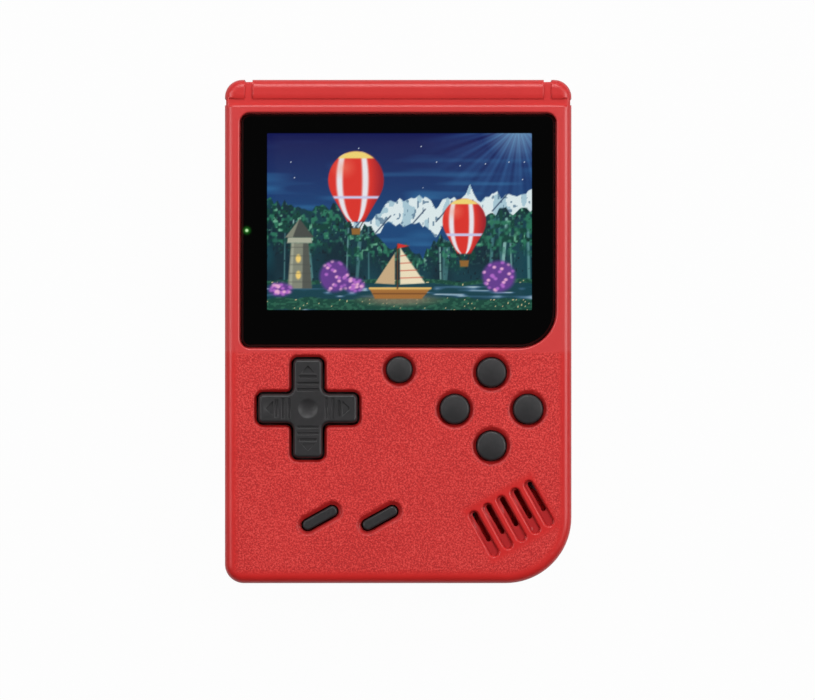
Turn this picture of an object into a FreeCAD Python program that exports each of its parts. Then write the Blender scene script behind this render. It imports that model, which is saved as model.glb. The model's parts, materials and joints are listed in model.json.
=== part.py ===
import FreeCAD, Part
import math
import os

import Sketcher
from FreeCAD import Vector

# Handheld game console, lying on its back: +X to the right of the screen, +Y to its top edge,
# +Z out of the screen. The origin is under the middle of the case, on the back face.

# Driving dimensions, in millimetres and degrees
SIZES = {
    # Case
    "lens_width": 72.4,
    "lens_side_margin": 3.8,
    "header_length": 7.95,
    "lens_length": 53.7,
    "control_drop": 14.35,
    "speaker_drop": 25.2,
    "grip_margin": 15.0,
    "case_thickness": 21.0,
    "head_round": 4.0,
    "foot_round": 4.4,
    "grip_round": 15.2,
    "front_edge_round": 2.0,
    "back_edge_round": 2.6,
    "side_wall": 1.8,
    "face_wall": 2.0,
    "back_wall": 1.8,
    "parting_height": 10.5,
    "lip_height": 0.8,
    "lip_wall": 0.7,
    "fit_gap": 0.1,
    "running_gap": 0.3,
    "least_round": 0.4,
    "overrun": 1.0,
    "slot_round": 0.4,
    "opening_break": 0.6,
    # Channel and grooves of the head
    "channel_drop": 4.4,
    "channel_width": 1.5,
    "channel_depth": 0.35,
    "notch_depth": 0.3,
    "groove_side": 5.5,
    "groove_width": 1.8,
    "groove_notch": 0.55,
    # Lens and display
    "lens_thickness": 1.0,
    "lens_sink": 0.1,
    "lens_gap": 0.25,
    "lens_round": 2.0,
    "lens_grip_round": 8.4,
    "lens_break": 0.5,
    "tape_thickness": 0.15,
    "tape_inset": 0.3,
    "view_width": 61.1,
    "view_length": 40.8,
    "view_shift": 0.3,
    "view_rise": 2.05,
    "window_margin": 0.9,
    "window_round": 1.0,
    "gasket_thickness": 0.3,
    "gasket_width": 1.4,
    "frame_margin": 1.4,
    "frame_side": 2.0,
    "frame_chin": 5.0,
    "frame_wall": 0.7,
    "frame_floor": 0.4,
    "frame_round": 0.6,
    "glass_thickness": 1.1,
    "backlight_thickness": 1.1,
    "flex_width": 12.0,
    "flex_thickness": 0.2,
    "flex_side": 14.0,
    "flex_reach": 6.0,
    "flex_run": 0.4,
    "foam_size": 7.0,
    "foam_inset": 3.0,
    # Board
    "board_drop": 5.0,
    "board_thickness": 1.6,
    "board_margin": 4.0,
    "board_head_margin": 3.1,
    "board_foot_margin": 8.1,
    "board_round": 2.0,
    "board_grip_round": 9.0,
    # Case screws
    "head_screw_side": 6.8,
    "head_screw_drop": 4.9,
    "foot_screw_side": 5.8,
    "foot_screw_rise": 6.1,
    "grip_screw_side": 5.4,
    "grip_screw_rise": 27.6,
    "middle_screw_x": 9.5,
    "middle_screw_rise": 5.1,
    "front_boss_radius": 2.6,
    "rear_post_radius": 3.4,
    "screw_shank_radius": 0.95,
    "screw_head_radius": 2.0,
    "screw_head_height": 1.6,
    "screw_seat": 3.2,
    "screw_bite": 6.0,
    "drive_reach": 0.6,
    "drive_width": 0.15,
    "drive_depth": 0.6,
    # Board screws
    "board_screw_side": 5.8,
    "board_screw_drop": 0.5,
    "lower_screw_left": 31.0,
    "lower_screw_right": 9.0,
    "lower_screw_drop": 18.1,
    "board_boss_radius": 2.0,
    "board_shank_radius": 0.7,
    "board_head_radius": 1.5,
    "board_head_height": 1.1,
    "board_bite": 3.0,
    # Direction pad
    "pad_side": 19.2,
    "pad_rise": 0.15,
    "pad_span": 22.8,
    "pad_arm": 6.7,
    "pad_well_gap": 0.5,
    "pad_tip_round": 1.1,
    "pad_inner_round": 1.6,
    "pad_proud": 1.3,
    "pad_top_break": 0.5,
    "pad_flange_reach": 1.7,
    "pad_flange_thickness": 1.3,
    "pad_flange_gap": 1.15,
    "dish_radius": 2.45,
    "dish_depth": 0.5,
    "rib_start": 4.3,
    "rib_pitch": 1.475,
    "rib_length": 4.7,
    "last_rib_length": 3.8,
    "rib_width": 0.45,
    "rib_depth": 0.3,
    "pointer_start": 8.1,
    "pointer_length": 1.6,
    "pointer_width": 3.0,
    "stem_radius": 1.2,
    "stem_foot_radius": 0.9,
    "stem_foot_gap": 0.1,
    "stem_socket_gap": 0.35,
    "stem_head_height": 3.2,
    "stem_neck": 0.4,
    # Round buttons
    "cluster_side": 18.5,
    "cluster_radius": 8.45,
    "cap_radius": 3.4,
    "cap_gap": 0.5,
    "cap_proud": 1.3,
    "cap_crown": 0.35,
    "cap_edge": 0.4,
    "cap_wall": 1.2,
    "flange_reach": 1.0,
    "flange_thickness": 1.3,
    "flange_gap": 0.1,
    "collar_wall": 0.8,
    "collar_height": 1.0,
    "reset_x": 0.27,
    "reset_rise": 9.1,
    "reset_radius": 3.0,
    "reset_gap": 0.45,
    # Pill buttons
    "pill_drop": 25.1,
    "select_x": -18.04,
    "start_x": -4.2,
    "pill_length": 8.8,
    "pill_width": 2.4,
    "pill_gap": 0.6,
    "pill_proud": 0.5,
    "pill_cover": 0.45,
    "rake": 29.0,
    # Rubber sheets under the buttons
    "sheet_thickness": 0.8,
    "pad_sheet_radius": 12.5,
    "pad_dome_place": 8.6,
    "pad_dome_radius": 2.4,
    "cluster_sheet": 23.0,
    "cluster_sheet_round": 3.0,
    "dome_radius": 2.6,
    "dome_top_radius": 1.5,
    "reset_sheet_radius": 5.0,
    "menu_sheet_length": 31.0,
    "menu_sheet_width": 8.0,
    # Speaker and grille
    "speaker_side": 13.85,
    "speaker_radius": 9.6,
    "speaker_height": 2.6,
    "speaker_rim": 0.8,
    "speaker_lip": 1.0,
    "speaker_shoulder": 1.2,
    "speaker_wall": 0.4,
    "speaker_base_radius": 6.2,
    "magnet_radius": 5.4,
    "magnet_height": 1.4,
    "seal_thickness": 0.4,
    "cone_thickness": 0.25,
    "cone_depth": 1.2,
    "cone_surround": 1.0,
    "cone_cap_radius": 2.2,
    "cone_cap_height": 0.7,
    "ring_wall": 0.9,
    "ring_height": 2.2,
    "grille_pitch": 3.63,
    "grille_length": 11.6,
    "grille_width": 2.1,
    "grille_depth": 0.8,
    "grille_slit_length": 7.6,
    "grille_slit_width": 1.1,
    "grille_slit_shift": 1.6,
    "grille_slit_side": 0.28,
    "wire_radius": 0.35,
    "wire_spacing": 2.4,
    "wire_run": 2.0,
    "wire_rise": 0.25,
    # Power light
    "light_side": 5.1,
    "light_drop": 34.8,
    "light_pipe_radius": 0.55,
    "light_pipe_gap": 0.1,
    "light_pipe_flange": 0.5,
    "light_pipe_step": 0.8,
    "diode_length": 1.6,
    "diode_width": 0.9,
    "diode_height": 0.7,
    "diode_round": 0.1,
    # Power switch
    "switch_x": -22.0,
    "switch_width": 9.4,
    "switch_depth": 4.6,
    "switch_height": 3.5,
    "knob_width": 3.0,
    "knob_height": 1.6,
    "knob_travel": 2.5,
    "knob_sink": 0.25,
    "knob_root": 1.3,
    "knob_round": 0.25,
    "knob_grip_pitch": 0.8,
    "knob_grip_width": 0.3,
    "knob_grip_depth": 0.25,
    # Audio and video jack
    "jack_x": 4.0,
    "jack_width": 6.4,
    "jack_depth": 11.5,
    "jack_height": 5.2,
    "jack_nose_radius": 2.6,
    "jack_nose_length": 2.4,
    "jack_bore_radius": 1.8,
    "jack_bore_depth": 12.0,
    # Charging socket
    "usb_x": 20.0,
    "usb_width": 7.5,
    "usb_height": 2.7,
    "usb_depth": 5.6,
    "usb_wall": 0.35,
    "usb_round": 0.8,
    "usb_back": 0.8,
    "usb_tongue_width": 3.8,
    "usb_tongue_thickness": 0.6,
    "usb_nose": 0.7,
    "usb_margin": 0.5,
    # Volume wheel
    "wheel_rise": 14.0,
    "wheel_radius": 7.5,
    "wheel_thickness": 2.4,
    "wheel_sink": 0.1,
    "wheel_gap": 0.4,
    "wheel_slot_half": 6.0,
    "knurl_depth": 0.35,
    "hub_radius": 1.5,
    "hub_height": 1.0,
    "pot_size": 9.6,
    "pot_height": 1.3,
    "pot_trim": 1.0,
    "scoop_radius": 10.0,
    "scoop_depth": 0.9,
    "scoop_height": 9.0,
    # Battery bay and cover
    "bay_rise": 30.1,
    "battery_length": 53.0,
    "battery_width": 34.0,
    "battery_height": 5.6,
    "battery_round": 1.2,
    "battery_break": 0.6,
    "contact_height": 2.6,
    "contact_sink": 0.15,
    "bay_end": 3.2,
    "bay_gap": 0.5,
    "bay_wall": 1.4,
    "ledge_width": 1.8,
    "ledge_height": 4.6,
    "cover_thickness": 1.6,
    "cover_sink": 0.3,
    "cover_gap": 0.3,
    "cover_round": 2.0,
    "cover_break": 0.3,
    "tab_place": 16.0,
    "tab_width": 5.0,
    "tab_length": 1.8,
    "tab_root": 0.8,
    "tab_thickness": 1.0,
    "tab_headroom": 1.9,
    "latch_width": 12.0,
    "latch_length": 7.0,
    "latch_slit": 0.5,
    "nib_reach": 1.2,
    "nib_height": 0.8,
    "latch_rib_pitch": 1.5,
    "latch_rib_width": 0.75,
    "latch_rib_start": 1.6,
    "latch_rib_inset": 1.2,
    "latch_rib_depth": 0.4,
    "thumb_radius": 6.0,
    "thumb_depth": 0.9,
    "terminal_width": 2.2,
    "terminal_length": 15.0,
    "terminal_height": 4.6,
    "terminal_rim": 0.6,
    "terminal_slot": 1.4,
    "spring_pitch": 4.2,
    "spring_width": 1.6,
    "spring_thickness": 0.3,
    "spring_straight": 0.3,
    "spring_peak": 0.66,
    # Parts on the back of the board
    "blob_radius": 6.0,
    "blob_crown": 4.2,
    "blob_height": 1.4,
    "memory_length": 10.2,
    "memory_width": 8.0,
    "memory_height": 1.1,
    "pin_width": 0.4,
    "pin_reach": 1.0,
    "pin_margin": 0.5,
    "capacitor_radius": 2.0,
    "capacitor_height": 2.4,
    "capacitor_pitch": 5.0,
    "crystal_length": 9.0,
    "crystal_width": 3.4,
    "crystal_height": 1.8,
    "upper_parts_drop": 21.0,
    "parts_spacing": 16.0,
    "crystal_x": 17.0,
    "capacitor_x": -23.8,
}

doc = FreeCAD.newDocument("handheld_console")
sheet = doc.addObject("Spreadsheet::Sheet", "sizes")
for row, (alias, number) in enumerate(SIZES.items(), start=1):
    sheet.set(f"A{row}", alias)
    sheet.set(f"B{row}", str(number))
    sheet.setAlias(f"B{row}", alias)
doc.recompute()


# Sizes with their formulas

class Size:
    """A number and the sheet formula that it comes from; arithmetic keeps both in step."""

    def __init__(self, value, formula):
        self.value = value
        self.formula = formula

    def __add__(self, other):
        other = as_size(other)
        return Size(self.value + other.value, f"({self.formula} + {other.formula})")

    def __sub__(self, other):
        other = as_size(other)
        return Size(self.value - other.value, f"({self.formula} - {other.formula})")

    def __mul__(self, other):
        other = as_size(other)
        return Size(self.value * other.value, f"({self.formula} * {other.formula})")

    def __truediv__(self, other):
        other = as_size(other)
        return Size(self.value / other.value, f"({self.formula} / {other.formula})")

    def __neg__(self):
        return self * -1

    __radd__ = __add__
    __rmul__ = __mul__

    def __rsub__(self, other):
        return as_size(other) - self


def as_size(number):
    """A plain number as a Size, so that both can be used alike."""
    return number if isinstance(number, Size) else Size(float(number), f"({float(number)})")


def larger(first, second):
    first, second = as_size(first), as_size(second)
    return Size(max(first.value, second.value), f"max({first.formula}; {second.formula})")


class Sheet:
    """The spreadsheet's cells as Sizes, by alias."""

    def __getattr__(self, alias):
        return Size(float(sheet.get(alias)), f"sizes.{alias}")


S = Sheet()

# Places worked out from the driving dimensions
case_width = S.lens_width + S.lens_side_margin * 2
case_length = S.header_length + S.lens_length + S.control_drop + S.speaker_drop + S.grip_margin
right = case_width / 2
left = -right
top = case_length / 2
bottom = -top

face = S.case_thickness
face_under = face - S.face_wall
parting = S.parting_height
board_top = face_under - S.board_drop
board_bottom = board_top - S.board_thickness

lens_top = top - S.header_length
lens_bottom = lens_top - S.lens_length
lens_y = (lens_top + lens_bottom) / 2
lens_floor = face - S.lens_sink - S.lens_thickness - S.tape_thickness
view_x = S.view_shift
view_y = lens_y + S.view_rise

frame_top = face_under - S.gasket_thickness
frame_thickness = S.glass_thickness + S.backlight_thickness + S.frame_floor
frame_bottom = frame_top - frame_thickness
frame_half = S.view_width / 2 + S.frame_side + S.frame_margin
frame_head = view_y + S.view_length / 2 + S.frame_margin
frame_foot = view_y - S.view_length / 2 - S.frame_chin

cluster_x = right - S.cluster_side
cluster_y = lens_bottom - S.control_drop
pad_x = left + S.pad_side
pad_y = cluster_y + S.pad_rise
reset_y = cluster_y + S.reset_rise
pill_y = cluster_y - S.pill_drop
speaker_x = right - S.speaker_side
speaker_y = cluster_y - S.speaker_drop

flange_top = face_under - S.flange_gap
flange_under = flange_top - S.flange_thickness
pad_flange_top = face_under - S.pad_flange_gap
pad_flange_under = pad_flange_top - S.pad_flange_thickness
stem_centre = board_top + S.stem_foot_gap + S.stem_foot_radius

CASE_SCREWS = [
    (right - S.head_screw_side, top - S.head_screw_drop),
    (left + S.head_screw_side, top - S.head_screw_drop),
    (left + S.foot_screw_side, bottom + S.foot_screw_rise),
    (right - S.grip_screw_side, bottom + S.grip_screw_rise),
    (S.middle_screw_x, bottom + S.middle_screw_rise),
]
BOARD_SCREWS = [
    (left + S.board_screw_side, lens_bottom - S.board_screw_drop),
    (right - S.board_screw_side, lens_bottom - S.board_screw_drop),
    (-S.lower_screw_left, cluster_y - S.lower_screw_drop),
    (S.lower_screw_right, cluster_y - S.lower_screw_drop),
]

bay_y = bottom + S.bay_rise
battery_bottom = S.cover_sink + S.cover_thickness + S.fit_gap * 2
bay_roof = battery_bottom + S.battery_height + S.running_gap
bay_half_width = S.battery_length / 2 + S.bay_gap + S.bay_end / 2
bay_half_length = S.battery_width / 2 + S.bay_gap
cover_half_width = bay_half_width + S.ledge_width - S.cover_gap
cover_half_length = bay_half_length + S.ledge_width - S.cover_gap
cover_top = S.cover_sink + S.cover_thickness
battery_x = S.bay_end / 2

jack_z = board_bottom - S.jack_height / 2
switch_z = board_bottom - S.switch_height / 2
usb_z = board_bottom - S.usb_height / 2
edge_face = top - S.board_head_margin
wheel_x = right - S.wheel_sink - S.wheel_radius
wheel_y = S.wheel_rise
wheel_top = board_bottom - S.pot_height - S.running_gap
wheel_bottom = wheel_top - S.wheel_thickness
upper_parts_y = edge_face - S.upper_parts_drop
lower_parts_y = upper_parts_y - S.parts_spacing


# Drawing and solid helpers

def bind(owner, name, size):
    owner.setExpression(name, as_size(size).formula)


def new_body(label):
    part = doc.addObject("PartDesign::Body", label)
    part.Label = label
    part.AllowCompound = True
    return part


def new_sketch(part, name, x=0, y=0, z=0, turn=0, role="XY_Plane"):
    """A sketch on one of the body's own planes; x and y lie in the plane and z along its normal."""
    made = part.newObject("Sketcher::SketchObject", name)
    plane = next(item for item in part.Origin.OriginFeatures if item.Role == role)
    made.AttachmentSupport = [(plane, "")]
    made.MapMode = "FlatFace"
    for axis, amount in (("x", x), ("y", y), ("z", z)):
        if isinstance(amount, Size):
            bind(made, f"AttachmentOffset.Base.{axis}", amount)
    if isinstance(turn, Size):
        bind(made, "AttachmentOffset.Rotation.Angle", turn)
    return made


def place(sketch, item, point, x=None, y=None):
    """Hold one point of a curve at its distance from the sketch's axes."""
    for kind, axis, amount in (("DistanceX", -2, x), ("DistanceY", -1, y)):
        if amount is None:
            continue
        if isinstance(amount, Size):
            rule = Sketcher.Constraint(kind, -1, 1, item, point, amount.value)
            bind(sketch, f"Constraints[{sketch.addConstraint(rule)}]", amount)
        else:
            sketch.addConstraint(Sketcher.Constraint("PointOnObject", item, point, axis))


def set_radius(sketch, item, radius):
    rule = Sketcher.Constraint("Radius", item, as_size(radius).value)
    bind(sketch, f"Constraints[{sketch.addConstraint(rule)}]", radius)


def arc_between(sketch, centre, start, end, radius):
    """A counter-clockwise arc about centre from one point to another."""
    first = math.atan2(start.y - centre.y, start.x - centre.x)
    last = math.atan2(end.y - centre.y, end.x - centre.x)
    if last <= first:
        last += 2 * math.pi
    circle = Part.Circle(centre, Vector(0, 0, 1), radius)
    return sketch.addGeometry(Part.ArcOfCircle(circle, first, last))


def rounded_loop(sketch, corners):
    """A closed loop of level and upright edges through (x, y, radius) corners, counter-clockwise."""
    spots = [Vector(as_size(x).value, as_size(y).value, 0) for x, y, _ in corners]
    radii = [as_size(radius).value for _, _, radius in corners]
    ways = []
    edges = []
    for index, (x, y, _) in enumerate(corners):
        start, end = spots[index], spots[(index + 1) % len(spots)]
        way = (end - start).normalize()
        ways.append(way)
        line = Part.LineSegment(start + way * radii[index], end - way * radii[(index + 1) % len(spots)])
        edge = sketch.addGeometry(line)
        edges.append(edge)
        if abs(way.x) > abs(way.y):
            sketch.addConstraint(Sketcher.Constraint("Horizontal", edge))
            place(sketch, edge, 1, y=as_size(y))
        else:
            sketch.addConstraint(Sketcher.Constraint("Vertical", edge))
            place(sketch, edge, 1, x=as_size(x))
    for index, (_, _, corner_radius) in enumerate(corners):
        into, out, spot, radius = ways[index - 1], ways[index], spots[index], radii[index]
        if radius == 0:
            sketch.addConstraint(Sketcher.Constraint("Coincident", edges[index - 1], 2, edges[index], 1))
            continue
        centre = spot - into * radius + out * radius
        before, after = spot - into * radius, spot + out * radius
        if into.cross(out).z > 0:
            arc = arc_between(sketch, centre, before, after, radius)
            first, last = 1, 2
        else:
            arc = arc_between(sketch, centre, after, before, radius)
            first, last = 2, 1
        sketch.addConstraint(Sketcher.Constraint("Tangent", edges[index - 1], 2, arc, first))
        sketch.addConstraint(Sketcher.Constraint("Tangent", arc, last, edges[index], 1))
        set_radius(sketch, arc, corner_radius)


def rectangle(sketch, x0, y0, x1, y1, radius=0):
    rounded_loop(sketch, [(x0, y0, radius), (x1, y0, radius), (x1, y1, radius), (x0, y1, radius)])


def circle(sketch, x, y, radius):
    spot = Vector(as_size(x).value, as_size(y).value, 0)
    item = sketch.addGeometry(Part.Circle(spot, Vector(0, 0, 1), as_size(radius).value))
    place(sketch, item, 3, x=x, y=y)
    set_radius(sketch, item, radius)


def slot(sketch, length, width, x=0, y=0):
    """A round-ended slot along the sketch's x axis, centred on (x, y)."""
    reach = (as_size(length) - width) / 2
    radius = as_size(width).value / 2
    centres = [Vector((x + side * reach).value, as_size(y).value, 0) for side in (-1, 1)]
    up = Vector(0, radius, 0)
    lower = sketch.addGeometry(Part.LineSegment(centres[0] - up, centres[1] - up))
    upper = sketch.addGeometry(Part.LineSegment(centres[1] + up, centres[0] + up))
    right_end = arc_between(sketch, centres[1], centres[1] - up, centres[1] + up, radius)
    left_end = arc_between(sketch, centres[0], centres[0] + up, centres[0] - up, radius)
    for first, first_point, second, second_point in (
        (lower, 2, right_end, 1), (right_end, 2, upper, 1), (upper, 2, left_end, 1), (left_end, 2, lower, 1)
    ):
        sketch.addConstraint(Sketcher.Constraint("Tangent", first, first_point, second, second_point))
    sketch.addConstraint(Sketcher.Constraint("Horizontal", lower))
    place(sketch, left_end, 3, x=x - reach, y=y)
    place(sketch, right_end, 3, x=x + reach, y=y)
    set_radius(sketch, left_end, as_size(width) / 2)


def polygon(sketch, points, crown=None):
    """A closed loop of straight edges; with crown, the edge after that point is an arc centred on x = 0."""
    spots = [Vector(as_size(x).value, as_size(y).value, 0) for x, y in points]
    items = []
    for index, (x, y) in enumerate(points):
        start, end = spots[index], spots[(index + 1) % len(spots)]
        if index == crown:
            squares = start.x ** 2 + start.y ** 2 - end.x ** 2 - end.y ** 2
            centre_y = squares / (2 * (start.y - end.y))
            centre = Vector(0, centre_y, 0)
            item = arc_between(sketch, centre, start, end, (start - centre).Length)
            sketch.addConstraint(Sketcher.Constraint("PointOnObject", item, 3, -2))
        else:
            item = sketch.addGeometry(Part.LineSegment(start, end))
        items.append(item)
        place(sketch, item, 1, x=x, y=y)
    for index, item in enumerate(items):
        sketch.addConstraint(Sketcher.Constraint("Coincident", item, 2, items[(index + 1) % len(items)], 1))


def pad(part, sketch, length, backwards=False):
    feature = part.newObject("PartDesign::Pad", sketch.Name + "_pad")
    feature.Profile = sketch
    feature.Reversed = backwards
    bind(feature, "Length", length)
    return feature


def pocket(part, sketch, depth, forwards=False):
    """Cut against the sketch's normal, or along it with forwards."""
    feature = part.newObject("PartDesign::Pocket", sketch.Name + "_pocket")
    feature.Profile = sketch
    feature.Reversed = forwards
    bind(feature, "Length", depth)
    return feature


def revolve(part, sketch, kind="Revolution"):
    """Turn a profile about its own upright axis; kind Groove cuts instead."""
    feature = part.newObject("PartDesign::" + kind, sketch.Name + "_turned")
    feature.Profile = sketch
    feature.ReferenceAxis = (sketch, ["V_Axis"])
    feature.Angle = 360
    return feature


def polar(part, feature, count, angle=360.0):
    copies = part.newObject("PartDesign::PolarPattern", feature.Name + "_copies")
    copies.Originals = [feature]
    copies.Axis = (feature.Profile[0], ["N_Axis"])
    copies.Angle = angle
    copies.Occurrences = count
    part.Tip = copies
    return copies


def row_of(part, feature, pitch, count, axis="H_Axis"):
    copies = part.newObject("PartDesign::LinearPattern", feature.Name + "_row")
    copies.Originals = [feature]
    copies.Direction = (feature.Profile[0], [axis])
    bind(copies, "Length", as_size(pitch) * (count - 1))
    copies.Occurrences = count
    part.Tip = copies
    return copies


def soften(part, feature, radius, picks, kind="Fillet"):
    """Round or chamfer the feature's edges that picks accepts."""
    doc.recompute()
    names = [f"Edge{number}" for number, edge in enumerate(feature.Shape.Edges, start=1) if picks(edge)]
    made = part.newObject("PartDesign::" + kind, feature.Name + "_" + kind.lower())
    made.Base = (feature, names)
    bind(made, "Radius" if kind == "Fillet" else "Size", radius)
    part.Tip = made
    return made


def at_level(level, axis="z"):
    """Accepts edges that lie wholly at one level of an axis."""
    value = as_size(level).value

    def picks(edge):
        points = [edge.valueAt(edge.FirstParameter), edge.valueAt(edge.LastParameter), edge.CenterOfMass]
        return all(abs(getattr(point, axis) - value) < 1e-4 for point in points)
    return picks


def box_between(part, name, x0, y0, x1, y1, z0, z1, radius=0):
    """A pad over a rectangle between two levels."""
    sketch = new_sketch(part, name, z=as_size(z0))
    rectangle(sketch, x0, y0, x1, y1, radius)
    return pad(part, sketch, as_size(z1) - z0)


def on_control_openings(edge):
    """Accepts the edges where the controls' openings break the face, below the lens."""
    margin = S.front_edge_round + S.least_round
    limit_x = (right - margin).value
    low = (bottom + margin).value
    high = (lens_bottom - S.overrun).value
    points = [edge.valueAt(edge.FirstParameter), edge.valueAt(edge.LastParameter), edge.CenterOfMass]
    inside = all(abs(point.x) < limit_x and low < point.y < high for point in points)
    return inside and at_level(face)(edge)


def sheet_between(part, name, loops, z0, z1):
    """A pad over loops that a function draws, between two levels."""
    sketch = new_sketch(part, name, z=as_size(z0))
    loops(sketch)
    return pad(part, sketch, as_size(z1) - z0)


# Shared outlines

def case_loop(sketch, inset):
    """The case seen from the front, drawn in by inset: three small corners and one large one."""
    rounded_loop(sketch, [
        (left + inset, bottom + inset, larger(S.foot_round - inset, S.least_round)),
        (right - inset, bottom + inset, larger(S.grip_round - inset, S.least_round)),
        (right - inset, top - inset, larger(S.head_round - inset, S.least_round)),
        (left + inset, top - inset, larger(S.head_round - inset, S.least_round)),
    ])


def case_sketch(part, name, inset, level):
    sketch = new_sketch(part, name, z=as_size(level))
    case_loop(sketch, as_size(inset))
    return sketch


def lens_loop(sketch, grow):
    """The lens outline, grown by grow, about its own centre."""
    half_width = S.lens_width / 2 + grow
    half_length = S.lens_length / 2 + grow
    rounded_loop(sketch, [
        (-half_width, -half_length, S.lens_round + grow),
        (half_width, -half_length, S.lens_grip_round + grow),
        (half_width, half_length, S.lens_round + grow),
        (-half_width, half_length, S.lens_round + grow),
    ])


def view_loop(sketch, grow, radius):
    """The visible picture, grown by grow, about its own centre."""
    half_width = S.view_width / 2 + grow
    half_length = S.view_length / 2 + grow
    rectangle(sketch, -half_width, -half_length, half_width, half_length, radius)


def cross_loop(sketch, span, arm, tip_round, inner_round):
    """A plus-shaped loop about the sketch's centre."""
    tip = span / 2
    side = arm / 2
    rounded_loop(sketch, [
        (tip, -side, tip_round), (tip, side, tip_round), (side, side, inner_round),
        (side, tip, tip_round), (-side, tip, tip_round), (-side, side, inner_round),
        (-tip, side, tip_round), (-tip, -side, tip_round), (-side, -side, inner_round),
        (-side, -tip, tip_round), (side, -tip, tip_round), (side, -side, inner_round),
    ])


def cut_edge_openings(shell):
    """Openings that both shells share: switch, jack and charging socket in the head, and the wheel's slot."""
    outside = top + S.overrun
    depth = S.side_wall + S.overrun + S.fit_gap
    switch = new_sketch(shell, "switch_slot", x=S.switch_x, y=switch_z, z=-outside, role="XZ_Plane")
    half_travel = (S.knob_width + S.knob_travel) / 2 + S.running_gap
    half_height = S.knob_height / 2 + S.running_gap
    rectangle(switch, -half_travel, -half_height, half_travel, half_height, S.slot_round)
    pocket(shell, switch, depth, forwards=True)

    jack = new_sketch(shell, "jack_hole", x=S.jack_x, y=jack_z, z=-outside, role="XZ_Plane")
    circle(jack, 0, 0, S.jack_nose_radius + S.fit_gap)
    pocket(shell, jack, depth, forwards=True)

    usb = new_sketch(shell, "usb_hole", x=S.usb_x, y=usb_z, z=-outside, role="XZ_Plane")
    half_width = S.usb_width / 2 + S.usb_margin
    half_height = S.usb_height / 2 + S.usb_margin
    rectangle(usb, -half_width, -half_height, half_width, half_height, S.usb_round + S.usb_margin)
    pocket(shell, usb, depth, forwards=True)

    scoop = new_sketch(shell, "wheel_scoop", y=wheel_y, z=(wheel_top + wheel_bottom - S.scoop_height) / 2)
    circle(scoop, right + S.scoop_radius - S.scoop_depth, 0, S.scoop_radius)
    pocket(shell, scoop, S.scoop_height, forwards=True)

    slit = new_sketch(shell, "wheel_slot", x=wheel_y, y=(wheel_top + wheel_bottom) / 2, z=right + S.overrun,
                      role="YZ_Plane")
    half_height = S.wheel_thickness / 2 + S.wheel_gap
    rectangle(slit, -S.wheel_slot_half, -half_height, S.wheel_slot_half, half_height, S.slot_round)
    pocket(shell, slit, depth)


def cut_side_notches(shell, level, height):
    """The channel carried round both sides of the case, and the two grooves carried over its top edge."""
    low = top - S.channel_drop - S.channel_width
    high = top - S.channel_drop
    for name, edge, side in (("left_notch", left, -1), ("right_notch", right, 1)):
        sketch = new_sketch(shell, name, z=as_size(level))
        inner, outer = edge - side * S.notch_depth, edge + side * S.overrun
        first, second = (outer, inner) if side < 0 else (inner, outer)
        rectangle(sketch, first, low, second, high)
        pocket(shell, sketch, height, forwards=True)
    heads = new_sketch(shell, "head_notches", z=as_size(level))
    for side in (-1, 1):
        middle = side * (right - S.groove_side)
        half = S.groove_width / 2
        rectangle(heads, middle - half, top - S.groove_notch, middle + half, top + S.overrun)
    pocket(shell, heads, height, forwards=True)


def screw_circles(sketch, spots, radius):
    for x, y in spots:
        circle(sketch, x, y, radius)


# Case

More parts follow.
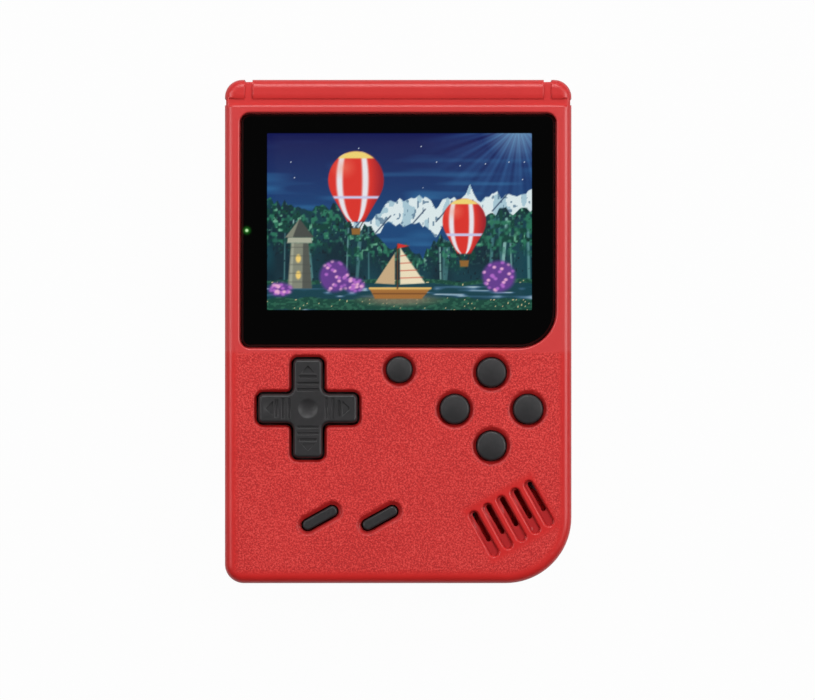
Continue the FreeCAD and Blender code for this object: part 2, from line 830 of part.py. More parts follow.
def make_front_shell():
    """The front moulding: stepped lens recess, cross well, button holes, raked grille, channel and bosses."""
    shell = new_body("front_shell")
    block = pad(shell, case_sketch(shell, "outline", 0, parting), face - parting)
    soften(shell, block, S.front_edge_round, at_level(face))
    pocket(shell, case_sketch(shell, "cavity", S.side_wall, parting), face_under - parting, forwards=True)
    rebate = S.side_wall - S.lip_wall - S.fit_gap
    pocket(shell, case_sketch(shell, "rebate", rebate, parting), S.lip_height + S.fit_gap, forwards=True)

    # Bosses, guides and the speaker ring, all on the inner side of the face
    bosses = new_sketch(shell, "case_bosses", z=parting)
    screw_circles(bosses, CASE_SCREWS, S.front_boss_radius)
    pad(shell, bosses, face_under - parting)
    posts = new_sketch(shell, "board_bosses", z=board_top)
    screw_circles(posts, BOARD_SCREWS, S.board_boss_radius)
    pad(shell, posts, face_under - board_top)
    collar = new_sketch(shell, "button_guides", x=cluster_x, y=cluster_y, z=face_under)
    guide = S.cap_radius + S.flange_reach + S.running_gap
    circle(collar, S.cluster_radius, 0, guide)
    circle(collar, S.cluster_radius, 0, guide + S.collar_wall)
    polar(shell, pad(shell, collar, S.collar_height, backwards=True), 4)
    ring = new_sketch(shell, "speaker_ring", x=speaker_x, y=speaker_y, z=face_under)
    circle(ring, 0, 0, S.speaker_radius + S.running_gap)
    circle(ring, 0, 0, S.speaker_radius + S.running_gap + S.ring_wall)
    pad(shell, ring, S.ring_height, backwards=True)
    pilots = new_sketch(shell, "case_pilots", z=parting)
    screw_circles(pilots, CASE_SCREWS, S.screw_shank_radius)
    pocket(shell, pilots, S.screw_bite + S.running_gap, forwards=True)
    board_pilots = new_sketch(shell, "board_pilots", z=board_top)
    screw_circles(board_pilots, BOARD_SCREWS, S.board_shank_radius)
    pocket(shell, board_pilots, S.board_bite + S.running_gap, forwards=True)

    # Lens recess and window
    recess = new_sketch(shell, "lens_recess", y=lens_y, z=face)
    lens_loop(recess, S.lens_gap)
    pocket(shell, recess, face - lens_floor)
    window = new_sketch(shell, "window", x=view_x, y=view_y, z=face)
    view_loop(window, S.window_margin, S.window_round)
    pocket(shell, window, S.face_wall)
    light = new_sketch(shell, "light_hole", z=face)
    circle(light, left + S.light_side, top - S.light_drop, S.light_pipe_radius + S.light_pipe_gap)
    pocket(shell, light, S.face_wall)

    # Channel and grooves of the head
    channel = new_sketch(shell, "channel", z=face)
    low = top - S.channel_drop - S.channel_width
    rectangle(channel, left - S.overrun, low, right + S.overrun, top - S.channel_drop)
    pocket(shell, channel, S.channel_depth)
    grooves = new_sketch(shell, "head_grooves", z=face)
    foot = top - S.channel_drop - S.channel_width / 2
    half = S.groove_width / 2
    for side in (-1, 1):
        middle = side * (right - S.groove_side)
        rectangle(grooves, middle - half, foot, middle + half, top + S.overrun)
    pocket(shell, grooves, S.channel_depth)
    cut_side_notches(shell, parting, face - parting)

    # Openings for the controls
    well = new_sketch(shell, "cross_well", x=pad_x, y=pad_y, z=face)
    grow = S.pad_well_gap * 2
    cross_loop(well, S.pad_span + grow, S.pad_arm + grow, S.pad_tip_round + S.pad_well_gap,
               S.pad_inner_round - S.pad_well_gap)
    pocket(shell, well, S.face_wall)
    hole = new_sketch(shell, "button_holes", x=cluster_x, y=cluster_y, z=face)
    circle(hole, S.cluster_radius, 0, S.cap_radius + S.cap_gap)
    polar(shell, pocket(shell, hole, S.face_wall), 4)
    reset = new_sketch(shell, "reset_hole", x=S.reset_x, y=reset_y, z=face)
    circle(reset, 0, 0, S.reset_radius + S.reset_gap)
    pocket(shell, reset, S.face_wall)
    for name, x in (("select_hole", S.select_x), ("start_hole", S.start_x)):
        pill = new_sketch(shell, name, x=x, y=pill_y, z=face, turn=S.rake)
        slot(pill, S.pill_length + S.pill_gap * 2, S.pill_width + S.pill_gap * 2)
        hole = pocket(shell, pill, S.face_wall)
    soften(shell, hole, S.opening_break, on_control_openings, "Chamfer")

    # Raked speaker grille: five shallow grooves, each with its slit nearer to one side
    rows = 5
    start = -S.grille_pitch * (rows - 1) / 2
    groove = new_sketch(shell, "grille_groove", x=speaker_x, y=speaker_y, z=face, turn=S.rake - 90)
    slot(groove, S.grille_length, S.grille_width, y=start)
    row_of(shell, pocket(shell, groove, S.grille_depth), S.grille_pitch, rows, "V_Axis")
    slit = new_sketch(shell, "grille_slit", x=speaker_x, y=speaker_y, z=face, turn=S.rake - 90)
    slot(slit, S.grille_slit_length, S.grille_slit_width, x=-S.grille_slit_shift, y=start + S.grille_slit_side)
    row_of(shell, pocket(shell, slit, S.face_wall), S.grille_pitch, rows, "V_Axis")
    cut_edge_openings(shell)


def make_rear_shell():
    """The back moulding, with the battery bay, the screw posts and the lip."""
    shell = new_body("rear_shell")
    block = pad(shell, case_sketch(shell, "outline", 0, 0), parting)
    soften(shell, block, S.back_edge_round, at_level(0))
    pocket(shell, case_sketch(shell, "cavity", S.side_wall, parting), parting - S.back_wall)
    lip = case_sketch(shell, "lip", S.side_wall - S.lip_wall, parting)
    case_loop(lip, S.side_wall)
    pad(shell, lip, S.lip_height)

    floor = S.back_wall / 2
    ledge_x = cover_half_width + S.cover_gap + S.bay_wall
    ledge_y = cover_half_length + S.cover_gap + S.bay_wall
    box_between(shell, "bay_ledge", -ledge_x, bay_y - ledge_y, ledge_x, bay_y + ledge_y, floor, S.ledge_height,
                S.cover_round)
    bay_x = bay_half_width + S.bay_wall
    bay_length = bay_half_length + S.bay_wall
    box_between(shell, "bay_walls", -bay_x, bay_y - bay_length, bay_x, bay_y + bay_length, floor,
                bay_roof + S.bay_wall, S.cover_round)
    posts = new_sketch(shell, "screw_posts", z=floor)
    screw_circles(posts, CASE_SCREWS, S.rear_post_radius)
    pad(shell, posts, parting - floor)

    recess = new_sketch(shell, "cover_recess", y=bay_y)
    grow = S.cover_gap
    rectangle(recess, -cover_half_width - grow, -cover_half_length - grow, cover_half_width + grow,
              cover_half_length + grow, S.cover_round)
    pocket(shell, recess, cover_top + S.fit_gap, forwards=True)
    bay = new_sketch(shell, "battery_bay", y=bay_y)
    rectangle(bay, -bay_half_width, -bay_half_length, bay_half_width, bay_half_length, S.battery_round)
    pocket(shell, bay, bay_roof, forwards=True)

    # Windows that the cover's hooks reach through
    windows = new_sketch(shell, "hook_windows", y=bay_y - cover_half_length, z=cover_top)
    for side in (-1, 1):
        middle = side * S.tab_place
        half = S.tab_width / 2 + S.cover_gap
        rectangle(windows, middle - half, -S.tab_length - S.cover_gap * 2, middle + half, S.ledge_width * 2)
    pocket(shell, windows, S.tab_headroom, forwards=True)
    latch = new_sketch(shell, "latch_notch", y=bay_y + cover_half_length, z=cover_top)
    half = S.latch_width / 2
    rectangle(latch, -half, -S.ledge_width * 2, half, S.cover_gap + S.nib_reach)
    pocket(shell, latch, S.nib_height + S.running_gap, forwards=True)
    thumb = new_sketch(shell, "thumb_notch", y=bay_y + cover_half_length)
    circle(thumb, 0, 0, S.thumb_radius)
    pocket(shell, thumb, S.thumb_depth, forwards=True)

    counterbores = new_sketch(shell, "counterbores")
    screw_circles(counterbores, CASE_SCREWS, S.screw_head_radius + S.running_gap)
    pocket(shell, counterbores, S.screw_seat, forwards=True)
    bores = new_sketch(shell, "screw_bores")
    screw_circles(bores, CASE_SCREWS, S.screw_shank_radius + S.running_gap)
    pocket(shell, bores, parting, forwards=True)
    cut_side_notches(shell, 0, parting)
    cut_edge_openings(shell)


def make_battery_cover():
    """The sliding-latch cover: plate, two hook tabs, sprung tongue with finger ribs."""
    cover = new_body("battery_cover")
    edge = bay_y - cover_half_length
    head = bay_y + cover_half_length
    plate = box_between(cover, "plate", -cover_half_width, edge, cover_half_width, head,
                        S.cover_sink, cover_top, S.cover_round)
    soften(cover, plate, S.cover_break, at_level(S.cover_sink), "Chamfer")
    tabs = new_sketch(cover, "hook_tabs", y=edge, z=cover_top)
    for side in (-1, 1):
        middle = side * S.tab_place
        rectangle(tabs, middle - S.tab_width / 2, -S.tab_length, middle + S.tab_width / 2, S.tab_root)
    pad(cover, tabs, S.tab_thickness)
    slits = new_sketch(cover, "tongue_slits", y=head, z=S.cover_sink)
    for side in (-1, 1):
        inner = side * S.latch_width / 2
        outer = inner + side * S.latch_slit
        first, second = (outer, inner) if side < 0 else (inner, outer)
        rectangle(slits, first, -S.latch_length, second, S.overrun)
    pocket(cover, slits, S.cover_thickness, forwards=True)
    rib = new_sketch(cover, "finger_rib", y=head - S.latch_rib_start, z=S.cover_sink)
    half = S.latch_width / 2 - S.latch_rib_inset
    rectangle(rib, -half, -S.latch_rib_width / 2, half, S.latch_rib_width / 2)
    row = row_of(cover, pocket(cover, rib, S.latch_rib_depth, forwards=True), S.latch_rib_pitch, 4, "V_Axis")
    row.Reversed = True
    nib = new_sketch(cover, "latch_nib", y=head, z=cover_top)
    rectangle(nib, -half, -S.nib_reach, half, -S.fit_gap)
    pad(cover, nib, S.nib_height)


def make_battery():
    """The rechargeable cell in its wrap, with three contact pads sunk in its left end."""
    cell = new_body("battery")
    half_length = S.battery_length / 2
    half_width = S.battery_width / 2
    block = box_between(cell, "wrap", battery_x - half_length, bay_y - half_width, battery_x + half_length,
                        bay_y + half_width, battery_bottom, battery_bottom + S.battery_height, S.battery_round)
    ends = (at_level(battery_bottom), at_level(battery_bottom + S.battery_height))
    soften(cell, block, S.battery_break, lambda edge: any(end(edge) for end in ends), "Chamfer")
    pads = new_sketch(cell, "contact_pads", x=bay_y, y=battery_bottom + S.battery_height / 2,
                      z=battery_x - half_length, role="YZ_Plane")
    for step in (-1, 0, 1):
        middle = step * S.spring_pitch
        half = S.spring_width / 2
        rectangle(pads, middle - half, -S.contact_height / 2, middle + half, S.contact_height / 2)
    pocket(cell, pads, S.contact_sink, forwards=True)


def make_terminals():
    """The contact block in the bay's left end, and its three leaf springs."""
    inner = -bay_half_width + S.fit_gap
    block = new_body("battery_terminal_block")
    low = bay_roof - S.fit_gap - S.terminal_height
    box_between(block, "housing", inner, bay_y - S.terminal_length / 2, inner + S.terminal_width,
                bay_y + S.terminal_length / 2, low, bay_roof - S.fit_gap, S.least_round)
    slots = new_sketch(block, "spring_slots", x=bay_y, y=low, z=inner + S.terminal_width, role="YZ_Plane")
    half = S.spring_width / 2 + S.fit_gap
    for step in (-1, 0, 1):
        middle = step * S.spring_pitch
        rectangle(slots, middle - half, S.terminal_rim, middle + half, S.terminal_height - S.terminal_rim)
    pocket(block, slots, S.terminal_slot)

    springs = new_body("battery_springs")
    foot = S.terminal_rim + S.fit_gap * 2
    leaf = new_sketch(springs, "leaf", x=inner + S.terminal_width - S.terminal_slot, y=low + foot,
                      z=-(bay_y - S.spring_pitch - S.spring_width / 2), role="XZ_Plane")
    reach = battery_x - S.battery_length / 2 - inner - S.terminal_width + S.terminal_slot
    tall = S.terminal_height - foot * 2
    thick = S.spring_thickness
    bend = tall * S.spring_straight
    peak = tall * S.spring_peak
    polygon(leaf, [(0, 0), (thick, 0), (thick, bend), (reach, peak - thick), (reach, peak + thick), (thick, tall),
                   (0, tall), (0, tall - thick), (reach - thick, peak), (0, bend + thick)])
    row_of(springs, pad(springs, leaf, S.spring_width, backwards=True), S.spring_pitch, 3, "N_Axis").Reversed = True


# Display

def make_lens():
    lens = new_body("display_lens")
    plate = new_sketch(lens, "plate", y=lens_y, z=face - S.lens_sink - S.lens_thickness)
    lens_loop(plate, 0)
    block = pad(lens, plate, S.lens_thickness)
    soften(lens, block, S.lens_break, at_level(face - S.lens_sink), "Chamfer")

    tape = new_body("lens_tape")
    strip = new_sketch(tape, "strip", y=lens_y, z=lens_floor)
    lens_loop(strip, -S.tape_inset)
    pad(tape, strip, S.tape_thickness)
    opening = new_sketch(tape, "opening", x=view_x, y=view_y, z=lens_floor)
    view_loop(opening, S.window_margin, S.window_round)
    pocket(tape, opening, S.tape_thickness, forwards=True)
    light = new_sketch(tape, "light_hole", z=lens_floor)
    circle(light, left + S.light_side, top - S.light_drop, S.light_pipe_radius + S.light_pipe_gap)
    pocket(tape, light, S.tape_thickness, forwards=True)


def frame_box(part, name, inset, z0, z1, radius=0):
    """A block over the display module's outline, drawn in by inset."""
    return box_between(part, name, view_x - frame_half + inset, frame_foot + inset, view_x + frame_half - inset,
                       frame_head - inset, z0, z1, radius)


def make_display():
    """The display module: gasket, tray, light guide, glass, ribbon and foam."""
    gasket = new_body("lcd_gasket")
    ring = new_sketch(gasket, "ring", x=view_x, y=view_y, z=frame_top)
    view_loop(ring, S.window_margin, S.window_round)
    view_loop(ring, S.window_margin + S.gasket_width, S.window_round + S.gasket_width)
    pad(gasket, ring, S.gasket_thickness)

    tray = new_body("lcd_frame")
    frame_box(tray, "outer", as_size(0), frame_bottom, frame_top, S.frame_round)
    inner = new_sketch(tray, "inner", z=frame_top)
    wall = S.frame_wall
    rectangle(inner, view_x - frame_half + wall, frame_foot + wall, view_x + frame_half - wall, frame_head - wall)
    pocket(tray, inner, frame_thickness - S.frame_floor)

    inset = S.frame_wall + S.fit_gap
    light_top = frame_bottom + S.frame_floor + S.backlight_thickness
    guide = new_body("lcd_backlight")
    frame_box(guide, "guide", inset, frame_bottom + S.frame_floor, light_top)
    glass = new_body("lcd_glass")
    frame_box(glass, "glass", inset, light_top, frame_top)

    # The ribbon leaves the tray's foot, turns back under it and lies on the board
    ribbon = new_body("lcd_flex")
    high = frame_bottom + S.flex_thickness
    low = board_top + S.flex_thickness
    bend = (high - low) / 2
    outward = new_sketch(ribbon, "profile", x=S.flex_side, y=(high + low) / 2, z=-frame_foot, role="XZ_Plane")
    half = S.flex_width / 2
    half_thick = S.flex_thickness / 2
    rectangle(outward, -half, bend - half_thick, half, bend + half_thick)
    path = new_sketch(ribbon, "path", x=frame_foot, y=(high + low) / 2, z=S.flex_side, role="YZ_Plane")
    hairpin(path, S.flex_run, bend, S.flex_reach)
    pipe = ribbon.newObject("PartDesign::AdditivePipe", "ribbon")
    pipe.Profile = outward
    pipe.Spine = (path, [])

    foam = new_body("lcd_foam_pads")
    sheet_between(foam, "pads", foam_loops, board_top, frame_bottom)


def hairpin(sketch, run, bend, back):
    """A path that runs to -x, turns half round downwards and runs back to +x."""
    start = sketch.addGeometry(Part.LineSegment(Vector(0, bend.value, 0), Vector(-run.value, bend.value, 0)))
    centre = Vector(-run.value, 0, 0)
    up = Vector(0, bend.value, 0)
    turn = arc_between(sketch, centre, centre + up, centre - up, bend.value)
    end = sketch.addGeometry(Part.LineSegment(centre - up, Vector(back.value, -bend.value, 0)))
    sketch.addConstraint(Sketcher.Constraint("Horizontal", start))
    sketch.addConstraint(Sketcher.Constraint("Horizontal", end))
    sketch.addConstraint(Sketcher.Constraint("Tangent", start, 2, turn, 1))
    sketch.addConstraint(Sketcher.Constraint("Tangent", turn, 2, end, 1))
    place(sketch, start, 1, x=0)
    place(sketch, turn, 3, x=-run, y=0)
    place(sketch, end, 2, x=back)
    set_radius(sketch, turn, bend)


def foam_loops(sketch):
    inset = S.foam_inset
    for side_x in (-1, 1):
        for edge_y, side_y in ((frame_foot, 1), (frame_head, -1)):
            x0 = view_x + side_x * (frame_half - inset)
            y0 = edge_y + side_y * inset
            x1 = x0 - side_x * S.foam_size
            y1 = y0 + side_y * S.foam_size
            first_x, last_x = (x0, x1) if side_x < 0 else (x1, x0)
            first_y, last_y = (y0, y1) if side_y > 0 else (y1, y0)
            rectangle(sketch, first_x, first_y, last_x, last_y, S.least_round)


# Board

def make_board():
    """The main board: follows the case with its large corner, cleared round the case bosses."""
    board = new_body("main_board")
    outline = new_sketch(board, "outline", z=board_bottom)
    rounded_loop(outline, [
        (left + S.board_margin, bottom + S.board_foot_margin, S.board_round),
        (right - S.board_margin, bottom + S.board_foot_margin, S.board_grip_round),
        (right - S.board_margin, top - S.board_head_margin, S.board_round),
        (left + S.board_margin, top - S.board_head_margin, S.board_round),
    ])
    pad(board, outline, S.board_thickness)
    reliefs = new_sketch(board, "boss_reliefs", z=board_bottom)
    screw_circles(reliefs, CASE_SCREWS, S.front_boss_radius + S.running_gap)
    pocket(board, reliefs, S.board_thickness, forwards=True)
    holes = new_sketch(board, "screw_holes", z=board_bottom)
    screw_circles(holes, BOARD_SCREWS, S.board_shank_radius + S.fit_gap)
    pocket(board, holes, S.board_thickness, forwards=True)


def make_board_parts():
    """What is soldered to the back of the board."""
    blob = new_body("processor_blob")
    drop = new_sketch(blob, "drop", z=-upper_parts_y, role="XZ_Plane")
    polygon(drop, [(0, board_bottom - S.blob_height), (S.blob_crown, board_bottom - S.blob_height),
                   (S.blob_radius, board_bottom), (0, board_bottom)])
    revolve(blob, drop)

    memory = new_body("memory_chip")
    low = lower_parts_y
    left_edge = -S.memory_length / 2
    box_between(memory, "package", left_edge, low - S.memory_width / 2, -left_edge, low + S.memory_width / 2,
                board_bottom - S.memory_height, board_bottom)
    pin = new_sketch(memory, "pin", x=left_edge, y=low, z=board_bottom - S.memory_height / 2)
    reach = S.memory_width / 2 + S.pin_reach
    rectangle(pin, S.pin_margin, -reach, S.pin_margin + S.pin_width, reach)
    pins = 8
    pitch = (S.memory_length - S.pin_margin * 2 - S.pin_width) / (pins - 1)
    row_of(memory, pad(memory, pin, S.memory_height / 2), pitch, pins)

    cans = new_body("capacitors")
    can = new_sketch(cans, "can", x=S.capacitor_x, y=low, z=board_bottom - S.capacitor_height)
    circle(can, 0, 0, S.capacitor_radius)
    row_of(cans, pad(cans, can, S.capacitor_height), S.capacitor_pitch, 3, "V_Axis")

    crystal = new_body("crystal")
    case = new_sketch(crystal, "case", x=S.crystal_x, y=upper_parts_y, z=board_bottom - S.crystal_height)
    slot(case, S.crystal_length, S.crystal_width)
    pad(crystal, case, S.crystal_height)


# Controls

def round_cap(label, x, y, radius, proud):
    """A turned button: flange under the face and a crowned cap through it."""
    cap = new_body(label)
    profile = new_sketch(cap, "profile", x=x, z=-as_size(y), role="XZ_Plane")
    crown = face + proud
    flange = radius + S.flange_reach
    edge = crown - S.cap_crown
    polygon(profile, [(0, flange_under), (flange, flange_under), (flange, flange_top), (radius, flange_top),
                      (radius, edge - S.cap_edge), (radius - S.cap_edge, edge), (0, crown)], crown=5)
    revolve(cap, profile)
    hollow = new_sketch(cap, "hollow", x=x, y=y, z=flange_under)
    circle(hollow, 0, 0, radius - S.cap_wall)
    pocket(cap, hollow, S.flange_thickness / 2, forwards=True)


def pill_cap(label, x):
    """A raked pill-shaped button."""
    cap = new_body(label)
    flange = new_sketch(cap, "flange", x=x, y=pill_y, z=flange_under, turn=S.rake)
    reach = (S.pill_gap + S.pill_cover) * 2
    slot(flange, S.pill_length + reach, S.pill_width + reach)
    pad(cap, flange, S.flange_thickness)
    stem = new_sketch(cap, "stem", x=x, y=pill_y, z=flange_under, turn=S.rake)
    slot(stem, S.pill_length, S.pill_width)
    crown = face + S.pill_proud
    block = pad(cap, stem, crown - flange_under)
    soften(cap, block, S.cap_edge, at_level(crown), "Chamfer")


def make_direction_pad():
    """The cross: flange, cross-shaped cap, finger dish, ribs and pointers, and the socket for its stem."""
    cross = new_body("dpad")
    flange = new_sketch(cross, "flange", x=pad_x, y=pad_y, z=pad_flange_under)
    reach = S.pad_flange_reach * 2
    cross_loop(flange, S.pad_span + reach, S.pad_arm + reach, S.pad_tip_round + S.pad_flange_reach / 2,
               larger(S.pad_inner_round - S.pad_flange_reach / 2, S.least_round))
    pad(cross, flange, S.pad_flange_thickness)
    arms = new_sketch(cross, "arms", x=pad_x, y=pad_y, z=pad_flange_under)
    cross_loop(arms, S.pad_span, S.pad_arm, S.pad_tip_round, S.pad_inner_round)
    crown = face + S.pad_proud
    block = pad(cross, arms, crown - pad_flange_under)
    soften(cross, block, S.pad_top_break, at_level(crown), "Chamfer")
    dish = new_sketch(cross, "dish", x=pad_x, z=-pad_y, role="XZ_Plane")
    above = crown + S.dish_depth
    polygon(dish, [(0, crown - S.dish_depth), (S.dish_radius, crown), (S.dish_radius, above), (0, above)], crown=0)
    revolve(cross, dish, "Groove")
    rib = new_sketch(cross, "rib", x=pad_x, y=pad_y, z=crown)
    half = S.rib_width / 2
    for step, length in enumerate((S.rib_length, S.rib_length, S.last_rib_length)):
        middle = S.rib_start + step * S.rib_pitch
        rectangle(rib, middle - half, -length / 2, middle + half, length / 2)
    polar(cross, pocket(cross, rib, S.rib_depth), 4)
    pointer = new_sketch(cross, "pointer", x=pad_x, y=pad_y, z=crown)
    half = S.pointer_width / 2
    polygon(pointer, [(S.pointer_start, -half), (S.pointer_start + S.pointer_length, 0), (S.pointer_start, half)])
    polar(cross, pocket(cross, pointer, S.rib_depth), 4)
    socket = new_sketch(cross, "socket", x=pad_x, y=pad_y, z=pad_flange_under)
    circle(socket, 0, 0, S.stem_radius + S.stem_socket_gap)
    pocket(cross, socket, stem_centre + S.stem_head_height + S.stem_socket_gap - pad_flange_under, forwards=True)

    stem = new_body("dpad_pivot")
    profile = new_sketch(stem, "profile", x=pad_x, z=-pad_y, role="XZ_Plane")
    foot = S.stem_foot_radius
    neck = stem_centre + S.stem_neck
    head = stem_centre + S.stem_head_height
    polygon(profile, [(0, stem_centre - foot), (foot, stem_centre), (foot, neck),
                      (S.stem_radius, neck + S.stem_radius - foot), (S.stem_radius, head), (0, head)], crown=0)
    revolve(stem, profile)


def add_dome(part, name, x, y, radius, height):
    """A rubber dome: a truncated cone that stands on the sheet's top."""
    profile = new_sketch(part, name, x=x, z=-as_size(y), role="XZ_Plane")
    low = board_top + S.sheet_thickness
    polygon(profile, [(0, low), (radius, low), (S.dome_top_radius, height), (0, height)])
    return revolve(part, profile)


def make_membranes():
    """Conductive rubber under the cross, the four caps, the reset cap and the two pills."""
    sheet_top = board_top + S.sheet_thickness
    rubber = new_body("dpad_membrane")
    sketch = new_sketch(rubber, "sheet", x=pad_x, y=pad_y, z=board_top)
    circle(sketch, 0, 0, S.pad_sheet_radius)
    circle(sketch, 0, 0, S.stem_radius + S.stem_socket_gap * 2)
    pad(rubber, sketch, S.sheet_thickness)
    dome = new_sketch(rubber, "dome", x=pad_x, y=pad_y, z=sheet_top)
    circle(dome, S.pad_dome_place, 0, S.pad_dome_radius)
    polar(rubber, pad(rubber, dome, pad_flange_under - sheet_top), 4)

    face_rubber = new_body("face_membrane")
    sketch = new_sketch(face_rubber, "sheet", x=cluster_x, y=cluster_y, z=board_top)
    half = S.cluster_sheet / 2
    rectangle(sketch, -half, -half, half, half, S.cluster_sheet_round)
    pad(face_rubber, sketch, S.sheet_thickness)
    dome = new_sketch(face_rubber, "dome", x=cluster_x, y=cluster_y, z=sheet_top)
    circle(dome, S.cluster_radius, 0, S.dome_radius)
    polar(face_rubber, pad(face_rubber, dome, flange_under - sheet_top), 4)

    reset_rubber = new_body("reset_membrane")
    sketch = new_sketch(reset_rubber, "sheet", x=S.reset_x, y=reset_y, z=board_top)
    circle(sketch, 0, 0, S.reset_sheet_radius)
    pad(reset_rubber, sketch, S.sheet_thickness)
    add_dome(reset_rubber, "dome", S.reset_x, reset_y, S.dome_radius, flange_under)

    menu_rubber = new_body("menu_membrane")
    middle = (S.select_x + S.start_x) / 2
    sketch = new_sketch(menu_rubber, "sheet", x=middle, y=pill_y, z=board_top)
    slot(sketch, S.menu_sheet_length, S.menu_sheet_width)
    pad(menu_rubber, sketch, S.sheet_thickness)
    for name, x in (("select_dome", S.select_x), ("start_dome", S.start_x)):
        add_dome(menu_rubber, name, x, pill_y, S.dome_radius, flange_under)


def make_controls():
    make_direction_pad()
    spots = {
        "x_button": (cluster_x, cluster_y + S.cluster_radius),
        "y_button": (cluster_x - S.cluster_radius, cluster_y),
        "a_button": (cluster_x + S.cluster_radius, cluster_y),
        "b_button": (cluster_x, cluster_y - S.cluster_radius),
    }
    for label, (x, y) in spots.items():
        round_cap(label, x, y, S.cap_radius, S.cap_proud)
    round_cap("reset_button", S.reset_x, reset_y, S.reset_radius, S.cap_proud)
    pill_cap("select_button", S.select_x)
    pill_cap("start_button", S.start_x)
    make_membranes()


# Speaker

def make_speaker():
    """The loudspeaker behind the grille: seal, pressed basket, paper cone, magnet and leads."""
    rim_top = face_under - S.seal_thickness
    base = rim_top - S.speaker_height

    def ring_loops(sketch):
        circle(sketch, speaker_x, speaker_y, S.speaker_radius)
        circle(sketch, speaker_x, speaker_y, S.speaker_radius - S.speaker_lip)
    sheet_between(new_body("speaker_gasket"), "ring", ring_loops, rim_top, face_under)

    basket = new_body("speaker_frame")
    profile = new_sketch(basket, "profile", x=speaker_x, z=-speaker_y, role="XZ_Plane")
    rim = S.speaker_radius
    lip = rim - S.speaker_lip
    shoulder = rim - S.speaker_shoulder
    seat = rim_top - S.speaker_rim
    wall = S.speaker_wall
    polygon(profile, [
        (0, base), (S.speaker_base_radius, base), (shoulder, seat - wall), (rim, seat - wall), (rim, rim_top),
        (lip, rim_top), (lip, seat), (shoulder - wall, seat), (S.speaker_base_radius - wall, base + wall),
        (0, base + wall),
    ])
    revolve(basket, profile)

    cone = new_body("speaker_cone")
    profile = new_sketch(cone, "profile", x=speaker_x, z=-speaker_y, role="XZ_Plane")
    edge = lip - S.fit_gap
    surround = edge - S.cone_surround
    deep = seat - S.cone_depth
    dust_cap = deep + S.cone_cap_height
    thick = S.cone_thickness
    polygon(profile, [
        (0, dust_cap), (S.cone_cap_radius, deep), (surround, seat), (edge, seat), (edge, seat + thick),
        (surround, seat + thick), (S.cone_cap_radius, deep + thick), (0, dust_cap + thick),
    ])
    revolve(cone, profile)

    magnet = new_body("speaker_magnet")
    sketch = new_sketch(magnet, "disc", x=speaker_x, y=speaker_y, z=base)
    circle(sketch, 0, 0, S.magnet_radius)
    pad(magnet, sketch, S.magnet_height, backwards=True)

    # Two leads: out of the basket's side, over and down to the board
    wires = new_body("speaker_wires")
    start_x = speaker_x - (S.speaker_base_radius + shoulder) / 2
    level = base + S.wire_rise
    profile = new_sketch(wires, "section", x=speaker_y - S.wire_spacing / 2, y=level, z=start_x, role="YZ_Plane")
    circle(profile, 0, 0, S.wire_radius)
    path = new_sketch(wires, "path", x=start_x, y=level, z=-(speaker_y - S.wire_spacing / 2), role="XZ_Plane")
    drop = level - board_top
    lead_path(path, S.wire_run, drop)
    pipe = wires.newObject("PartDesign::AdditivePipe", "lead")
    pipe.Profile = profile
    pipe.Spine = (path, [])
    copies = wires.newObject("PartDesign::LinearPattern", "leads")
    copies.Originals = [pipe]
    copies.Direction = (path, ["N_Axis"])
    copies.Reversed = True
    bind(copies, "Length", S.wire_spacing)
    copies.Occurrences = 2
    wires.Tip = copies


def lead_path(sketch, run, drop):
    """Out to -x, then a quarter turn and straight down to the board."""
    bend = larger(drop - S.least_round, S.least_round)
    start = sketch.addGeometry(Part.LineSegment(Vector(0, 0, 0), Vector(-run.value, 0, 0)))
    centre = Vector(-run.value, -bend.value, 0)
    arc = arc_between(sketch, centre, centre + Vector(0, bend.value, 0), centre - Vector(bend.value, 0, 0),
                      bend.value)
    end = sketch.addGeometry(Part.LineSegment(centre - Vector(bend.value, 0, 0),
                                              Vector(-run.value - bend.value, -drop.value, 0)))
    sketch.addConstraint(Sketcher.Constraint("Coincident", start, 1, -1, 1))
    sketch.addConstraint(Sketcher.Constraint("Horizontal", start))
    sketch.addConstraint(Sketcher.Constraint("Vertical", end))
    sketch.addConstraint(Sketcher.Constraint("Tangent", start, 2, arc, 1))
    sketch.addConstraint(Sketcher.Constraint("Tangent", arc, 2, end, 1))
    place(sketch, start, 2, x=-run)
    place(sketch, end, 2, y=-drop)
    set_radius(sketch, arc, bend)


# Head and side edge parts

def make_power_light():
    x = left + S.light_side
    y = top - S.light_drop
    diode = new_body("power_led")
    half_length = S.diode_length / 2
    half_width = S.diode_width / 2
    block = box_between(diode, "package", x - half_width, y - half_length, x + half_width, y + half_length,
                        board_top, board_top + S.diode_height)
    soften(diode, block, S.diode_round, at_level(board_top + S.diode_height))
    pipe = new_body("light_pipe")
    profile = new_sketch(pipe, "profile", x=x, z=-y, role="XZ_Plane")
    low = board_top + S.diode_height + S.fit_gap
    wide = S.light_pipe_radius + S.light_pipe_flange
    step = face_under - S.light_pipe_step
    polygon(profile, [(0, low), (S.light_pipe_radius, low), (wide, step), (wide, face_under),
                      (S.light_pipe_radius, face_under), (S.light_pipe_radius, lens_floor), (0, lens_floor)])
    revolve(pipe, profile)


